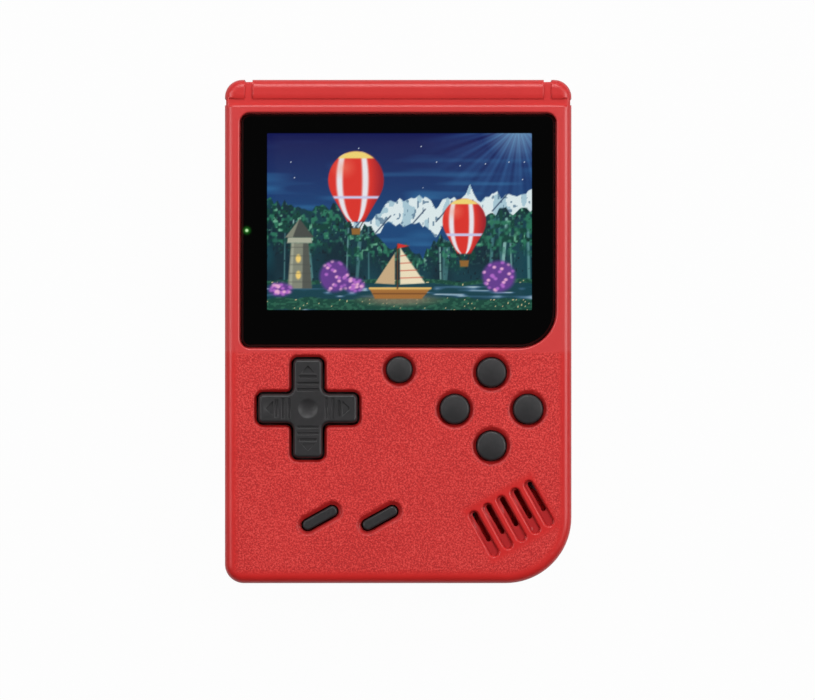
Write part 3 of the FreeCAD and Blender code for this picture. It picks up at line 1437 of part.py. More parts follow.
def make_power_switch():
    """The slide switch at the head: soldered case and the knob in the slot."""
    case = new_body("power_switch_case")
    half = S.switch_width / 2
    box_between(case, "case", S.switch_x - half, edge_face - S.switch_depth, S.switch_x + half, edge_face,
                board_bottom - S.switch_height, board_bottom, S.least_round)
    track = new_sketch(case, "track", x=S.switch_x, y=switch_z, z=-edge_face, role="XZ_Plane")
    half_travel = (S.knob_width + S.knob_travel) / 2 + S.running_gap
    half_height = S.knob_height / 2 + S.running_gap / 2
    rectangle(track, -half_travel, -half_height, half_travel, half_height)
    pocket(case, track, S.knob_root + S.running_gap, forwards=True)

    knob = new_body("power_switch_knob")
    start = edge_face - S.knob_root
    tip = top - S.knob_sink
    middle = S.switch_x - S.knob_travel / 2
    half = S.knob_width / 2
    half_height = S.knob_height / 2
    block = box_between(knob, "knob", middle - half, start, middle + half, tip, switch_z - half_height,
                        switch_z + half_height)
    soften(knob, block, S.knob_round, at_level(tip, "y"))
    grip = new_sketch(knob, "grip", x=middle, z=-tip, y=switch_z, role="XZ_Plane")
    tall = half_height - S.knob_round
    for step in (-1, 0, 1):
        centre = step * S.knob_grip_pitch
        rectangle(grip, centre - S.knob_grip_width / 2, -tall, centre + S.knob_grip_width / 2, tall)
    pocket(knob, grip, S.knob_grip_depth, forwards=True)


def make_jack():
    """The audio and video jack: moulded block, round nose and the bore for a 3.5 mm plug."""
    jack = new_body("av_jack")
    half = S.jack_width / 2
    box_between(jack, "block", S.jack_x - half, edge_face - S.jack_depth, S.jack_x + half, edge_face,
                board_bottom - S.jack_height, board_bottom, S.least_round)
    nose = new_sketch(jack, "nose", x=S.jack_x, y=jack_z, z=-edge_face, role="XZ_Plane")
    circle(nose, 0, 0, S.jack_nose_radius)
    pad(jack, nose, S.jack_nose_length, backwards=True)
    bore = new_sketch(jack, "bore", x=S.jack_x, y=jack_z, z=-edge_face - S.jack_nose_length, role="XZ_Plane")
    circle(bore, 0, 0, S.jack_bore_radius)
    pocket(jack, bore, S.jack_bore_depth, forwards=True)


def make_usb():
    """The charging socket: folded steel shell with its tongue."""
    usb = new_body("usb_socket")
    half_width = S.usb_width / 2
    half_height = S.usb_height / 2
    shell = new_sketch(usb, "shell", x=S.usb_x, y=usb_z, z=-edge_face - S.usb_nose, role="XZ_Plane")
    rectangle(shell, -half_width, -half_height, half_width, half_height, S.usb_round)
    pad(usb, shell, S.usb_depth)
    mouth = new_sketch(usb, "mouth", x=S.usb_x, y=usb_z, z=-edge_face - S.usb_nose, role="XZ_Plane")
    wall = S.usb_wall
    rectangle(mouth, -half_width + wall, -half_height + wall, half_width - wall, half_height - wall,
              S.usb_round - wall)
    pocket(usb, mouth, S.usb_depth - S.usb_back, forwards=True)
    tongue = new_sketch(usb, "tongue", x=S.usb_x, y=usb_z, z=-edge_face, role="XZ_Plane")
    tongue_half = S.usb_tongue_width / 2
    thin = S.usb_tongue_thickness / 2
    rectangle(tongue, -tongue_half, -thin, tongue_half, thin)
    pad(usb, tongue, S.usb_depth - S.usb_nose - S.usb_back / 2)


def make_volume():
    """The volume control: potentiometer on the board, knurled wheel and its screw."""
    pot = new_body("volume_pot")
    half = S.pot_size / 2
    box_between(pot, "case", wheel_x - half, wheel_y - half, wheel_x + half - S.pot_trim, wheel_y + half,
                board_bottom - S.pot_height, board_bottom, S.least_round)
    bore = new_sketch(pot, "bore", x=wheel_x, y=wheel_y, z=board_bottom - S.pot_height)
    circle(bore, 0, 0, S.hub_radius + S.running_gap)
    pocket(pot, bore, S.hub_height + S.fit_gap, forwards=True)

    wheel = new_body("volume_wheel")
    disc = new_sketch(wheel, "disc", x=wheel_x, y=wheel_y, z=wheel_bottom)
    circle(disc, 0, 0, S.wheel_radius)
    pad(wheel, disc, S.wheel_thickness)
    hub = new_sketch(wheel, "hub", x=wheel_x, y=wheel_y, z=wheel_top)
    circle(hub, 0, 0, S.hub_radius)
    pad(wheel, hub, S.hub_height)
    bore = new_sketch(wheel, "bore", x=wheel_x, y=wheel_y, z=wheel_bottom)
    circle(bore, 0, 0, S.board_shank_radius + S.fit_gap)
    pocket(wheel, bore, S.wheel_thickness + S.hub_height, forwards=True)
    notch = new_sketch(wheel, "knurl", x=wheel_x, y=wheel_y, z=wheel_bottom)
    rim = S.wheel_radius
    outside = rim + S.knurl_depth / 2
    polygon(notch, [(rim - S.knurl_depth, 0), (outside, -S.knurl_depth), (outside, S.knurl_depth)])
    knurls = 30
    polar(wheel, pocket(wheel, notch, S.wheel_thickness, forwards=True), knurls)

    screw = new_body("volume_wheel_screw")
    head = new_sketch(screw, "head", x=wheel_x, y=wheel_y, z=wheel_bottom)
    circle(head, 0, 0, S.board_head_radius)
    pad(screw, head, S.board_head_height / 2, backwards=True)
    shank = new_sketch(screw, "shank", x=wheel_x, y=wheel_y, z=wheel_bottom)
    circle(shank, 0, 0, S.board_shank_radius)
    pad(screw, shank, S.wheel_thickness + S.hub_height / 2)


# Screws

def make_screws():
    """Case screws from the back and board screws, each kind as one group of separate screws."""
    case = new_body("case_screws")
    screw_group(case, CASE_SCREWS, S.screw_seat, S.screw_head_radius, S.screw_head_height, S.screw_shank_radius,
                parting + S.screw_bite)
    board = new_body("board_screws")
    screw_group(board, BOARD_SCREWS, board_bottom, S.board_head_radius, S.board_head_height,
                S.board_shank_radius, board_top + S.board_bite)


def screw_group(part, spots, seat, head_radius, head_height, shank_radius, tip):
    """Screws whose heads lie under their seat and whose shanks reach up to tip."""
    heads = new_sketch(part, "heads", z=seat)
    screw_circles(heads, spots, head_radius)
    pad(part, heads, head_height, backwards=True)
    shanks = new_sketch(part, "shanks", z=seat)
    screw_circles(shanks, spots, shank_radius)
    pad(part, shanks, tip - seat)
    drives = new_sketch(part, "drives", z=seat - head_height)
    arm = head_radius * S.drive_reach
    thin = head_radius * S.drive_width
    for x, y in spots:
        rounded_loop(drives, [
            (x + arm, y - thin, 0), (x + arm, y + thin, 0), (x + thin, y + thin, 0), (x + thin, y + arm, 0),
            (x - thin, y + arm, 0), (x - thin, y + thin, 0), (x - arm, y + thin, 0), (x - arm, y - thin, 0),
            (x - thin, y - thin, 0), (x - thin, y - arm, 0), (x + thin, y - arm, 0), (x + thin, y - thin, 0),
        ])
    pocket(part, drives, head_height * S.drive_depth, forwards=True)


# Build, check and write

def check_and_export():
    """Stop on any failed object or empty cut, then write one file per sub-part."""
    doc.recompute()
    for item in doc.Objects:
        if "Invalid" in item.State or "Error" in item.State:
            raise RuntimeError(f"{item.Label} of {item.InList[0].Label if item.InList else '-'}: {item.State}")
        if item.TypeId in ("PartDesign::Pocket", "PartDesign::Groove"):
            if item.Shape.Volume > item.BaseFeature.Shape.Volume - 1e-6:
                raise RuntimeError(f"{item.Label} cuts nothing")
        if item.TypeId == "Sketcher::SketchObject" and not item.FullyConstrained:
            raise RuntimeError(f"{item.Label} is not fully held")
    os.makedirs("parts", exist_ok=True)
    for part in doc.Objects:
        if part.TypeId != "PartDesign::Body":
            continue
        shape = part.Shape
        if shape.isNull() or not shape.isValid() or shape.Volume <= 0:
            raise RuntimeError(f"{part.Label} has no good shape")
        shape.exportStep(f"parts/{part.Label}.step")
        print(f"{part.Label}: {len(shape.Solids)} solids, {shape.Volume:.1f} mm3")


make_front_shell()
make_rear_shell()
make_battery_cover()
make_battery()
make_terminals()
make_lens()
make_display()
make_board()
make_board_parts()
make_controls()
make_speaker()
make_power_light()
make_power_switch()
make_jack()
make_usb()
make_volume()
make_screws()
check_and_export()
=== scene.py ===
import json
import logging
import math
from dataclasses import dataclass
from enum import Enum

import bmesh
import bpy
import numpy as np
from mathutils import Matrix, Vector

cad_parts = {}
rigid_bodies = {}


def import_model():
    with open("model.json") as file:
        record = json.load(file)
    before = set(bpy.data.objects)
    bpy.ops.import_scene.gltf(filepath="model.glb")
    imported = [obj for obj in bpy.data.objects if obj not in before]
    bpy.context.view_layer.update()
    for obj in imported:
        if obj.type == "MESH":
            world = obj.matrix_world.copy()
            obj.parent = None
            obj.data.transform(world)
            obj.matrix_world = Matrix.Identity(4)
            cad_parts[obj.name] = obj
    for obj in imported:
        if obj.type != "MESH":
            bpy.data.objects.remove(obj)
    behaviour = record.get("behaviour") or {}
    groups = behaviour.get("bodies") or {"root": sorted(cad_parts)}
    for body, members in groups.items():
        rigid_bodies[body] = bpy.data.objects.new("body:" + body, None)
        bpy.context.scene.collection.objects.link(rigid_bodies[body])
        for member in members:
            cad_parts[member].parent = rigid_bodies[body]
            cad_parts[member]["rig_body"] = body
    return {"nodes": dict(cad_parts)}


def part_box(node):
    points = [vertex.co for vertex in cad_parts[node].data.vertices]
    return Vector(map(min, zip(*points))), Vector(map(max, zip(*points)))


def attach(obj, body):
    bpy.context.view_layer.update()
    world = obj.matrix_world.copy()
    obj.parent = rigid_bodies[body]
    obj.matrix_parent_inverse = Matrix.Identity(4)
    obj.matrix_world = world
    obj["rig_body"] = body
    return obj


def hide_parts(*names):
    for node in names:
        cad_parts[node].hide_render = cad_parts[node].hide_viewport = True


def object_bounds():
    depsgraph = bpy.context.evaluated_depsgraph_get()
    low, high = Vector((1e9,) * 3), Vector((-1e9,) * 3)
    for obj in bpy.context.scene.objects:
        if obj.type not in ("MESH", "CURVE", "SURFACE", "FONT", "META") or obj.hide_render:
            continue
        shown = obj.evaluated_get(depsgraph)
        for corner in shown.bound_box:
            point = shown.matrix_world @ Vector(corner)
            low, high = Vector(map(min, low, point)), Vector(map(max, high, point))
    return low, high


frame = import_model()
CAD_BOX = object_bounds()

log = logging.getLogger("console")

MM = 0.001

Span = tuple[float, float]


# Colours and shader graphs

def as_light(shade: np.ndarray) -> np.ndarray:
    """Linear light for screen values from 0 to 1, by the usual screen curve."""
    return np.where(shade <= 0.04045, shade / 12.92, ((shade + 0.055) / 1.055) ** 2.4)


@dataclass(frozen=True)
class Colour:
    """A colour as it looks on a screen, each channel from 0 to 255."""

    red: float
    green: float
    blue: float

    def array(self) -> np.ndarray:
        """The three channels from 0 to 1, for painting."""
        return np.array([self.red, self.green, self.blue]) / 255

    def linear(self) -> tuple[float, float, float, float]:
        """The same colour as linear light, with full alpha."""
        return (*as_light(self.array()).tolist(), 1.0)


@dataclass(frozen=True, eq=False)
class Wire:
    """A node's output; arithmetic on it adds Math nodes to the graph."""

    graph: "Graph"
    socket: bpy.types.NodeSocket

    def _math(self, operation: str, *values: "Wire | float") -> "Wire":
        """One Math node over the given values."""
        return self.graph.node("ShaderNodeMath", {"operation": operation}, dict(enumerate(values)))

    def __add__(self, other: "Wire | float") -> "Wire":
        """Sum."""
        return self._math("ADD", self, other)

    def __sub__(self, other: "Wire | float") -> "Wire":
        """Difference."""
        return self._math("SUBTRACT", self, other)

    def __rsub__(self, other: float) -> "Wire":
        """A number less this value."""
        return self._math("SUBTRACT", other, self)

    def __mul__(self, other: "Wire | float") -> "Wire":
        """Product."""
        return self._math("MULTIPLY", self, other)

    __radd__ = __add__
    __rmul__ = __mul__

    def __abs__(self) -> "Wire":
        """Size without sign."""
        return self._math("ABSOLUTE", self)

    def lowest(self, other: "Wire | float") -> "Wire":
        """The lesser of two values."""
        return self._math("MINIMUM", self, other)

    def highest(self, other: "Wire | float") -> "Wire":
        """The greater of two values."""
        return self._math("MAXIMUM", self, other)

    def root(self) -> "Wire":
        """Square root."""
        return self._math("SQRT", self)

    def ramp(self, low: float, high: float) -> "Wire":
        """A smooth step from 0 at low to 1 at high."""
        return self.graph.node("ShaderNodeMapRange", {"interpolation_type": "SMOOTHSTEP"},
                               {"Value": self, "From Min": low, "From Max": high})


class Graph:
    """The nodes of a new material, or of the room's light."""

    def __init__(self, name: str, room: bool = False) -> None:
        """Start with nothing but the output.

        Args:
            name: the name of the material or of the room.
            room: whether the nodes light the room instead of dressing a piece.
        """
        self.owner = (bpy.data.worlds if room else bpy.data.materials).new(name)
        self.owner.use_nodes = True
        self.tree = self.owner.node_tree
        self.tree.nodes.clear()
        self.output = self.tree.nodes.new("ShaderNodeOutputWorld" if room else "ShaderNodeOutputMaterial")

    def node(self, kind: str, settings: dict | None = None, inputs: dict | None = None,
             output: int | str = 0) -> Wire:
        """Add one node.

        Args:
            kind: the node's type name.
            settings: properties of the node, set before its sockets.
            inputs: socket name or number to a value, or to a Wire that is linked.
            output: the output socket that the Wire stands for.

        Returns:
            The wire of that output.
        """
        made = self.tree.nodes.new(kind)
        for key, value in (settings or {}).items():
            setattr(made, key, value)
        for key, value in (inputs or {}).items():
            if isinstance(value, Wire):
                self.tree.links.new(value.socket, made.inputs[key])
            else:
                made.inputs[key].default_value = value
        return Wire(self, made.outputs[output])

    def place(self) -> tuple[Wire, Wire, Wire, Wire]:
        """Read the point's own place in the piece.

        Returns:
            The vector in metres, then x, y and z in millimetres.
        """
        spot = self.node("ShaderNodeTexCoord", output="Object")
        grown = self.node("ShaderNodeVectorMath", {"operation": "SCALE"}, {"Vector": spot, "Scale": 1 / MM})
        parts = [self.node("ShaderNodeSeparateXYZ", None, {"Vector": grown}, axis) for axis in "XYZ"]
        return spot, *parts

    def noise(self, spot: Wire, size: float, detail: float = 2.0, roughness: float = 0.5,
              distortion: float = 0.0) -> Wire:
        """Add noise about 0.5.

        Args:
            spot: the vector that it is read at.
            size: how wide its lumps are, in millimetres.
            detail: how many finer layers it has.
            roughness: how strong the finer layers are.
            distortion: how far the lumps are bent.

        Returns:
            The wire of its value.
        """
        return self.node("ShaderNodeTexNoise", None, {
            "Vector": spot, "Scale": 1 / (size * MM), "Detail": detail, "Roughness": roughness,
            "Distortion": distortion,
        })

    def blend(self, share: Wire | float, first: Wire | Colour, second: Wire | Colour) -> Wire:
        """A colour between two, by share."""
        ends = [end.linear() if isinstance(end, Colour) else end for end in (first, second)]
        return self.node("ShaderNodeMix", {"data_type": "RGBA"}, {0: share, 6: ends[0], 7: ends[1]}, 2)

    def bump(self, height: Wire, depth: float) -> Wire:
        """A normal from a height between 0 and 1 that stands for depth millimetres."""
        return self.node("ShaderNodeBump", None, {"Height": height, "Distance": depth * MM})

    def surface(self, **inputs: "Wire | Colour | float") -> Wire:
        """Add a Principled shader.

        Args:
            inputs: what each socket gets; the names have their spaces written as underscores.

        Returns:
            The wire of the shader.
        """
        values = {}
        for key, value in inputs.items():
            values[key.replace("_", " ")] = value.linear() if isinstance(value, Colour) else value
        return self.node("ShaderNodeBsdfPrincipled", None, values)

    def finish(self, shader: Wire) -> "bpy.types.Material | bpy.types.World":
        """Put the shader on the output and return what owns the nodes."""
        self.tree.links.new(shader.socket, self.output.inputs["Surface"])
        return self.owner


# Finishes

class Slot(Enum):
    """The record's material slots."""

    RED_SHELL = "red_shell"
    CHARCOAL = "charcoal_plastic"
    LENS = "lens_black"
    DISPLAY = "display_glass"
    WHITE_PLASTIC = "white_plastic"
    CLEAR_PLASTIC = "clear_plastic"
    BOARD = "board_green"
    CHIP = "chip_black"
    RUBBER = "grey_rubber"
    FOAM = "foam_grey"
    TAPE = "tape_black"
    RIBBON = "ribbon_amber"
    STEEL = "steel"
    BRASS = "spring_brass"
    MAGNET = "magnet_steel"
    CONE = "paper_cone"
    WIRE = "wire_red"
    WRAP = "battery_wrap"
    CAN = "aluminium_can"


def turned(across: Wire, up: Wire, degrees: float) -> tuple[Wire, Wire]:
    """Read a place along and aside of a direction.

    Args:
        across: the place's distance to the right.
        up: its distance upwards.
        degrees: how far the direction is turned from the right.

    Returns:
        The distance along the direction, and the distance to its left.
    """
    turn = math.radians(degrees)
    along = across * math.cos(turn) + up * math.sin(turn)
    return along, up * math.cos(turn) - across * math.sin(turn)


@dataclass(frozen=True)
class Opening:
    """A rounded bar in the face: its middle, the half sizes of its core, its rounding and its turn."""

    x: float
    y: float
    half_length: float
    half_width: float
    rounding: float
    turn: float = 0.0
    wall_slack: float = 0.06

    def distance(self, x: Wire, y: Wire) -> Wire:
        """Measure from the opening's edge.

        Args:
            x: the point's place across the face, in millimetres.
            y: its place up the face.

        Returns:
            How far the point lies outside the edge, and less than 0 inside it.
        """
        along, aside = turned(x - self.x, y - self.y, self.turn)
        over = (abs(along) - self.half_length).highest(0.0)
        past = (abs(aside) - self.half_width).highest(0.0)
        return (over * over + past * past).root() - self.rounding

    def draw_in(self, spot: Vector, reach: float) -> None:
        """Move a point of this opening's wall inwards, and leave any other point alone.

        Args:
            spot: the point, in millimetres, which is changed in place.
            reach: how far it goes in.
        """
        turn = Matrix.Rotation(math.radians(self.turn), 2)
        local = turn.inverted() @ Vector((spot.x - self.x, spot.y - self.y))
        core = Vector((max(-self.half_length, min(self.half_length, local.x)),
                       max(-self.half_width, min(self.half_width, local.y))))
        out = local - core
        if abs(out.length - self.rounding) < self.wall_slack:
            moved = turn @ (core + out.normalized() * (out.length - reach))
            spot.x, spot.y = moved.x + self.x, moved.y + self.y


@dataclass(frozen=True)
class CaseShape:
    """The face's outline and what lies on it, in millimetres, as the grain has to follow them."""

    right: float
    top: float
    face: float
    lens: Opening
    lens_foot: float
    lens_top: float
    openings: tuple[Opening, ...]
    grip_round: float = 15.2
    grille_x: float = 26.15
    grille_y: float = -43.1
    grille_turn: float = -61.0
    grille_length: float = 14.0
    grille_width: float = 18.0
    grille_blend: float = 1.0

    def off_grille(self, x: Wire, y: Wire) -> Wire:
        """Find the raked grille.

        Args:
            x: the point's place across the face.
            y: its place up the face.

        Returns:
            0 over the grille, 1 everywhere else.
        """
        along, aside = turned(x - self.grille_x, y - self.grille_y, self.grille_turn)
        past = (abs(along) - self.grille_length / 2).highest(abs(aside) - self.grille_width / 2)
        return past.ramp(-self.grille_blend, self.grille_blend)

    def inside(self, x: Wire, y: Wire) -> Wire:
        """Measure from the case's outline, with its one large corner.

        Args:
            x: the point's place across the face.
            y: its place up the face.

        Returns:
            How far the point lies within the outline's sides and foot.
        """
        across = (x - (self.right - self.grip_round)).highest(0.0)
        down = (-(self.top - self.grip_round) - y).highest(0.0)
        from_corner = self.grip_round - (across * across + down * down).root()
        return from_corner.lowest(self.right - abs(x)).lowest(y + self.top)


@dataclass(frozen=True)
class GrainedShell:
    """Matte red moulding: spark-eroded grain on the lower face, smooth round edges, lens and grille, with
    painted sheen beside the lens and painted shade round the openings, in the lens recess and in the grooves.

    Each span gives where a blend starts and ends, in millimetres or in noise values.
    """

    case: CaseShape
    base: Colour = Colour(205, 36, 34)
    pale: Colour = Colour(226, 70, 64)
    deep: Colour = Colour(174, 20, 20)
    middle: float = 0.47
    grain: float = 0.39
    fine_size: float = 0.45
    fine_share: float = 0.3
    grain_depth: float = 0.09
    grain_span: Span = (0.36, 0.66)
    grain_share: float = 1.05
    speck_fine: Span = (0.56, 0.74)
    speck_lumps: Span = (0.4, 0.6)
    speck_share: float = 0.55
    patch: float = 9.0
    patch_share: float = 0.35
    edge_span: Span = (1.6, 3.6)
    below_lens: Span = (0.5, 1.8)
    skin_span: Span = (-0.3, -0.05)
    side_span: Span = (-3.0, -2.0)
    side_grain: float = 0.6
    least_relief: float = 0.15
    roughness: float = 0.4
    rougher: float = 0.12
    # Painted sheen: the paler pink of the smooth strips beside the lens, standing in for the lamps'
    # reflection.
    smooth: Colour = Colour(206, 62, 62)
    smooth_span: Span = (-1.8, -0.5)
    smooth_sheen_share: float = 0.8
    head_span: Span = (1.0, 2.5)
    head_share: float = 0.6
    # Painted shade: the dark red laid round the controls' openings and inside the lens recess.
    rim: Colour = Colour(120, 10, 12)
    opening_shade_span: Span = (-0.6, 1.2)
    opening_shade_share: float = 0.75
    # Painted shade inside the lens recess: how far from the lens and how deep below the face it reaches, and
    # how strong it is.
    lens_shade_span: Span = (0.9, 1.3)
    lens_shade_depth: float = 0.5
    lens_shade_share: float = 0.8
    # Painted shade: the deeper red on the floors of the grille's grooves.
    groove_shade: Colour = Colour(158, 24, 28)
    sunk_shade_span: Span = (0.3, 0.8)
    sunk_shade_share: float = 0.75

    def material(self) -> bpy.types.Material:
        """Lay the mottled red, then paint a paler sheen on its smooth parts and shade round the openings, in
        the lens recess and in the sunken grooves.

        Returns:
            The finished material.
        """
        graph = Graph(Slot.RED_SHELL.value)
        spot, x, y, z = graph.place()
        grained = self._grained(x, y, z)
        lumps = graph.noise(spot, self.grain, 2.0, 0.55, 0.4)
        fine = graph.noise(spot, self.grain * self.fine_size, 1.0)
        relief = lumps * (1 - self.fine_share) + fine * self.fine_share
        specks = fine.ramp(*self.speck_fine) * lumps.ramp(*self.speck_lumps)
        mottle = (relief.ramp(*self.grain_span) - 0.5) * self.grain_share + specks * self.speck_share
        patches = (graph.noise(spot, self.patch, 2.0) - 0.5) * self.patch_share
        share = grained * mottle + patches + self.middle
        dark = graph.blend((1 - share * 2).highest(0.0), self.base, self.deep)
        red = graph.blend((share * 2 - 1).highest(0.0), dark, self.pale)
        height = relief * (grained * (1 - self.least_relief) + self.least_relief)
        return graph.finish(graph.surface(
            Base_Color=self._shaded(graph, red, x, y, z),
            Roughness=self.roughness + grained * self.rougher + (fine - 0.5) * self.rougher,
            Normal=graph.bump(height, self.grain_depth)))

    def _shaded(self, graph: Graph, red: Wire, x: Wire, y: Wire, z: Wire) -> Wire:
        """Paint a paler sheen on the smooth strips beside the lens, and shade close to the controls'
        openings, in the lens recess and on the grooves' floors.

        Args:
            graph: the material's nodes.
            red: the mottled colour.
            x: the point's place across the face.
            y: its place up the face.
            z: its height.

        Returns:
            The colour all over the moulding.
        """
        case = self.case
        on_top = self._above(z, self.side_span)
        # Painted sheen: the smooth strips beside the lens turn paler pink, less so over the head strip.
        sheen_beside_lens = (y - case.lens_foot).ramp(*self.smooth_span)
        sheen_beside_lens = sheen_beside_lens * (1 - (y - case.lens_top).ramp(*self.head_span) * self.head_share)
        colour = graph.blend(sheen_beside_lens * on_top * self.smooth_sheen_share, red, self.smooth)
        # Painted shade on the lens recess's rounded edge, close to the lens and below the face.
        lens_recess_shade = 1 - case.lens.distance(x, y).ramp(*self.lens_shade_span)
        lens_recess_shade = lens_recess_shade * (1 - self._above(z, (-self.lens_shade_depth, 0.0)))
        # Painted shade round the controls' openings and inside the lens recess, in the dark red.
        colour = graph.blend((self._opening_shade(x, y) * on_top).highest(lens_recess_shade * self.lens_shade_share), colour, self.rim)
        # Painted shade on the sunken floors of the grille's grooves.
        sunk_shade = (case.face - z).ramp(*self.sunk_shade_span) * (1 - case.off_grille(x, y)) * self.sunk_shade_share
        return graph.blend(sunk_shade, colour, self.groove_shade)

    def _above(self, z: Wire, span: Span) -> Wire:
        """0 below a span of heights counted from the face, 1 above it."""
        return z.ramp(self.case.face + span[0], self.case.face + span[1])

    def _opening_shade(self, x: Wire, y: Wire) -> Wire:
        """Find where painted shade darkens the red close to a control.

        Args:
            x: the point's place across the face.
            y: its place up the face.

        Returns:
            How strong the painted shade is, fading from the controls' openings outwards.
        """
        near = self.case.openings[0].distance(x, y)
        for opening in self.case.openings[1:]:
            near = near.lowest(opening.distance(x, y))
        return (1 - near.ramp(*self.opening_shade_span)) * self.opening_shade_share

    def _grained(self, x: Wire, y: Wire, z: Wire) -> Wire:
        """Find where the moulding is grained.

        Args:
            x: the point's place across the face.
            y: its place up the face.
            z: its height.

        Returns:
            1 where it is grained, 0 where it is smooth.
        """
        case = self.case
        lower_face = case.inside(x, y).ramp(*self.edge_span) * (case.lens_foot - y).ramp(*self.below_lens)
        lower_face = lower_face * case.off_grille(x, y) * self._above(z, self.skin_span)
        return lower_face + (1 - self._above(z, self.side_span)) * self.side_grain


@dataclass(frozen=True)
class Satin:
    """A plain moulded or sheet finish with a fine mottle in colour, gloss and relief."""

    slot: Slot
    base: Colour
    other: Colour
    roughness: float = 0.5
    metallic: float = 0.0
    mottle: float = 1.5
    fine: float = 0.12
    relief: float = 0.01
    mottle_span: Span = (0.3, 0.7)
    gloss_swing: float = 0.16

    def material(self) -> bpy.types.Material:
        """Mottle the finish.

        Returns:
            The finished material.
        """
        graph = Graph(self.slot.value)
        spot = graph.place()[0]
        patches = graph.noise(spot, self.mottle, 3.0, 0.6)
        fine = graph.noise(spot, self.fine, 2.0)
        return graph.finish(graph.surface(
            Base_Color=graph.blend(patches.ramp(*self.mottle_span), self.base, self.other),
            Roughness=self.roughness + (fine - 0.5) * self.gloss_swing, Metallic=self.metallic,
            Normal=graph.bump(fine, self.relief)))


@dataclass(frozen=True)
class CircuitBoard:
    """Green solder mask with paler copper tracks under it."""

    mask: Colour = Colour(20, 92, 52)
    track: Colour = Colour(46, 128, 74)
    pitch: float = 4.0
    track_width: float = 0.06
    track_height: float = 0.02
    patch: float = 2.0
    least_roughness: float = 0.25
    roughness_swing: float = 0.2

    def material(self) -> bpy.types.Material:
        """Lay the tracks as the joints of a brick pattern.

        Returns:
            The finished material.
        """
        graph = Graph(Slot.BOARD.value)
        spot = graph.place()[0]
        black, white = (0, 0, 0, 1), (1, 1, 1, 1)
        tracks = graph.node("ShaderNodeTexBrick", {"offset": 0.5}, {
            "Vector": spot, "Scale": 1 / (self.pitch * MM), "Mortar Size": self.track_width,
            "Color1": black, "Color2": black, "Mortar": white}, 1)
        return graph.finish(graph.surface(
            Base_Color=graph.blend(tracks, self.mask, self.track),
            Roughness=graph.noise(spot, self.patch) * self.roughness_swing + self.least_roughness,
            Normal=graph.bump(tracks, self.track_height)))


@dataclass(frozen=True)
class PrintedLens:
    """Clear hard-coated pane, printed black behind all round the picture, with the power light's glow."""

    view: Opening
    light: tuple[float, float]
    black: Colour = Colour(4, 4, 4)
    glow: Colour = Colour(60, 190, 60)
    core: Colour = Colour(190, 235, 175)
    print_edge: float = 0.12
    halo_span: Span = (0.2, 1.7)
    halo_share: float = 0.3
    bulb_span: Span = (0.12, 0.52)
    roughness: float = 0.08
    smear: float = 18.0
    smear_share: float = 0.06
    pane_alpha: float = 0.06

    def material(self) -> bpy.types.Material:
        """Print the border and light the power light behind it.

        Returns:
            The finished material.
        """
        graph = Graph(Slot.LENS.value)
        spot, x, y, _ = graph.place()
        printed = self.view.distance(x, y).ramp(-self.print_edge, self.print_edge)
        gap_x, gap_y = x - self.light[0], y - self.light[1]
        far = (gap_x * gap_x + gap_y * gap_y).root()
        halo = 1 - far.ramp(*self.halo_span)
        halo = halo * halo * halo * self.halo_share
        bulb = 1 - far.ramp(*self.bulb_span)
        lit = graph.blend(bulb, graph.blend(halo, Colour(0, 0, 0), self.glow), self.core)
        smears = graph.noise(spot, self.smear, 2.0)
        return graph.finish(graph.surface(
            Base_Color=self.black, Roughness=self.roughness + (smears - 0.5) * self.smear_share,
            Alpha=printed * (1 - self.pane_alpha) + self.pane_alpha, Emission_Color=lit,
            Emission_Strength=1.0))


@dataclass(frozen=True)
class LitScreen:
    """The picture, given off as light from the points' own colours."""

    attribute: str = "picture"
    off: Colour = Colour(4, 4, 5)
    roughness: float = 0.35
    strength: float = 1.0

    def material(self) -> bpy.types.Material:
        """Show the points' colours.

        Returns:
            The finished material.
        """
        graph = Graph("display_picture")
        shown = graph.node("ShaderNodeAttribute", {"attribute_name": self.attribute}, None, "Color")
        return graph.finish(graph.surface(
            Base_Color=self.off, Roughness=self.roughness, Emission_Color=shown,
            Emission_Strength=self.strength))


PLAIN_FINISHES = (
    Satin(Slot.CHARCOAL, Colour(33, 33, 34), Colour(39, 37, 39), 0.48, 0.0, 1.2, 0.1, 0.012),
    Satin(Slot.DISPLAY, Colour(18, 22, 24), Colour(26, 30, 33), 0.12),
    Satin(Slot.WHITE_PLASTIC, Colour(226, 226, 222), Colour(214, 214, 208), 0.45),
    Satin(Slot.CLEAR_PLASTIC, Colour(204, 226, 204), Colour(190, 214, 190), 0.2),
    Satin(Slot.CHIP, Colour(24, 24, 25), Colour(32, 32, 33), 0.42),
    Satin(Slot.RUBBER, Colour(128, 130, 132), Colour(118, 120, 122), 0.7),
    Satin(Slot.FOAM, Colour(62, 62, 63), Colour(48, 48, 49), 0.92, 0.0, 0.8, 0.2, 0.08),
    Satin(Slot.TAPE, Colour(26, 26, 27), Colour(20, 20, 21), 0.6),
    Satin(Slot.RIBBON, Colour(196, 138, 58), Colour(180, 120, 46), 0.35),
    Satin(Slot.STEEL, Colour(196, 197, 199), Colour(176, 177, 180), 0.32, 1.0, 0.8, 0.08, 0.004),
    Satin(Slot.BRASS, Colour(212, 176, 96), Colour(196, 156, 80), 0.3, 1.0, 0.8, 0.08, 0.004),
    Satin(Slot.MAGNET, Colour(150, 150, 154), Colour(130, 130, 135), 0.35, 1.0),
    Satin(Slot.CONE, Colour(214, 24, 20), Colour(184, 16, 14), 0.9, 0.0, 0.6, 0.15, 0.04),
    Satin(Slot.WIRE, Colour(190, 40, 36), Colour(170, 32, 30), 0.45),
    Satin(Slot.WRAP, Colour(52, 74, 140), Colour(44, 64, 124), 0.4),
    Satin(Slot.CAN, Colour(206, 207, 209), Colour(188, 189, 192), 0.28, 1.0),
)


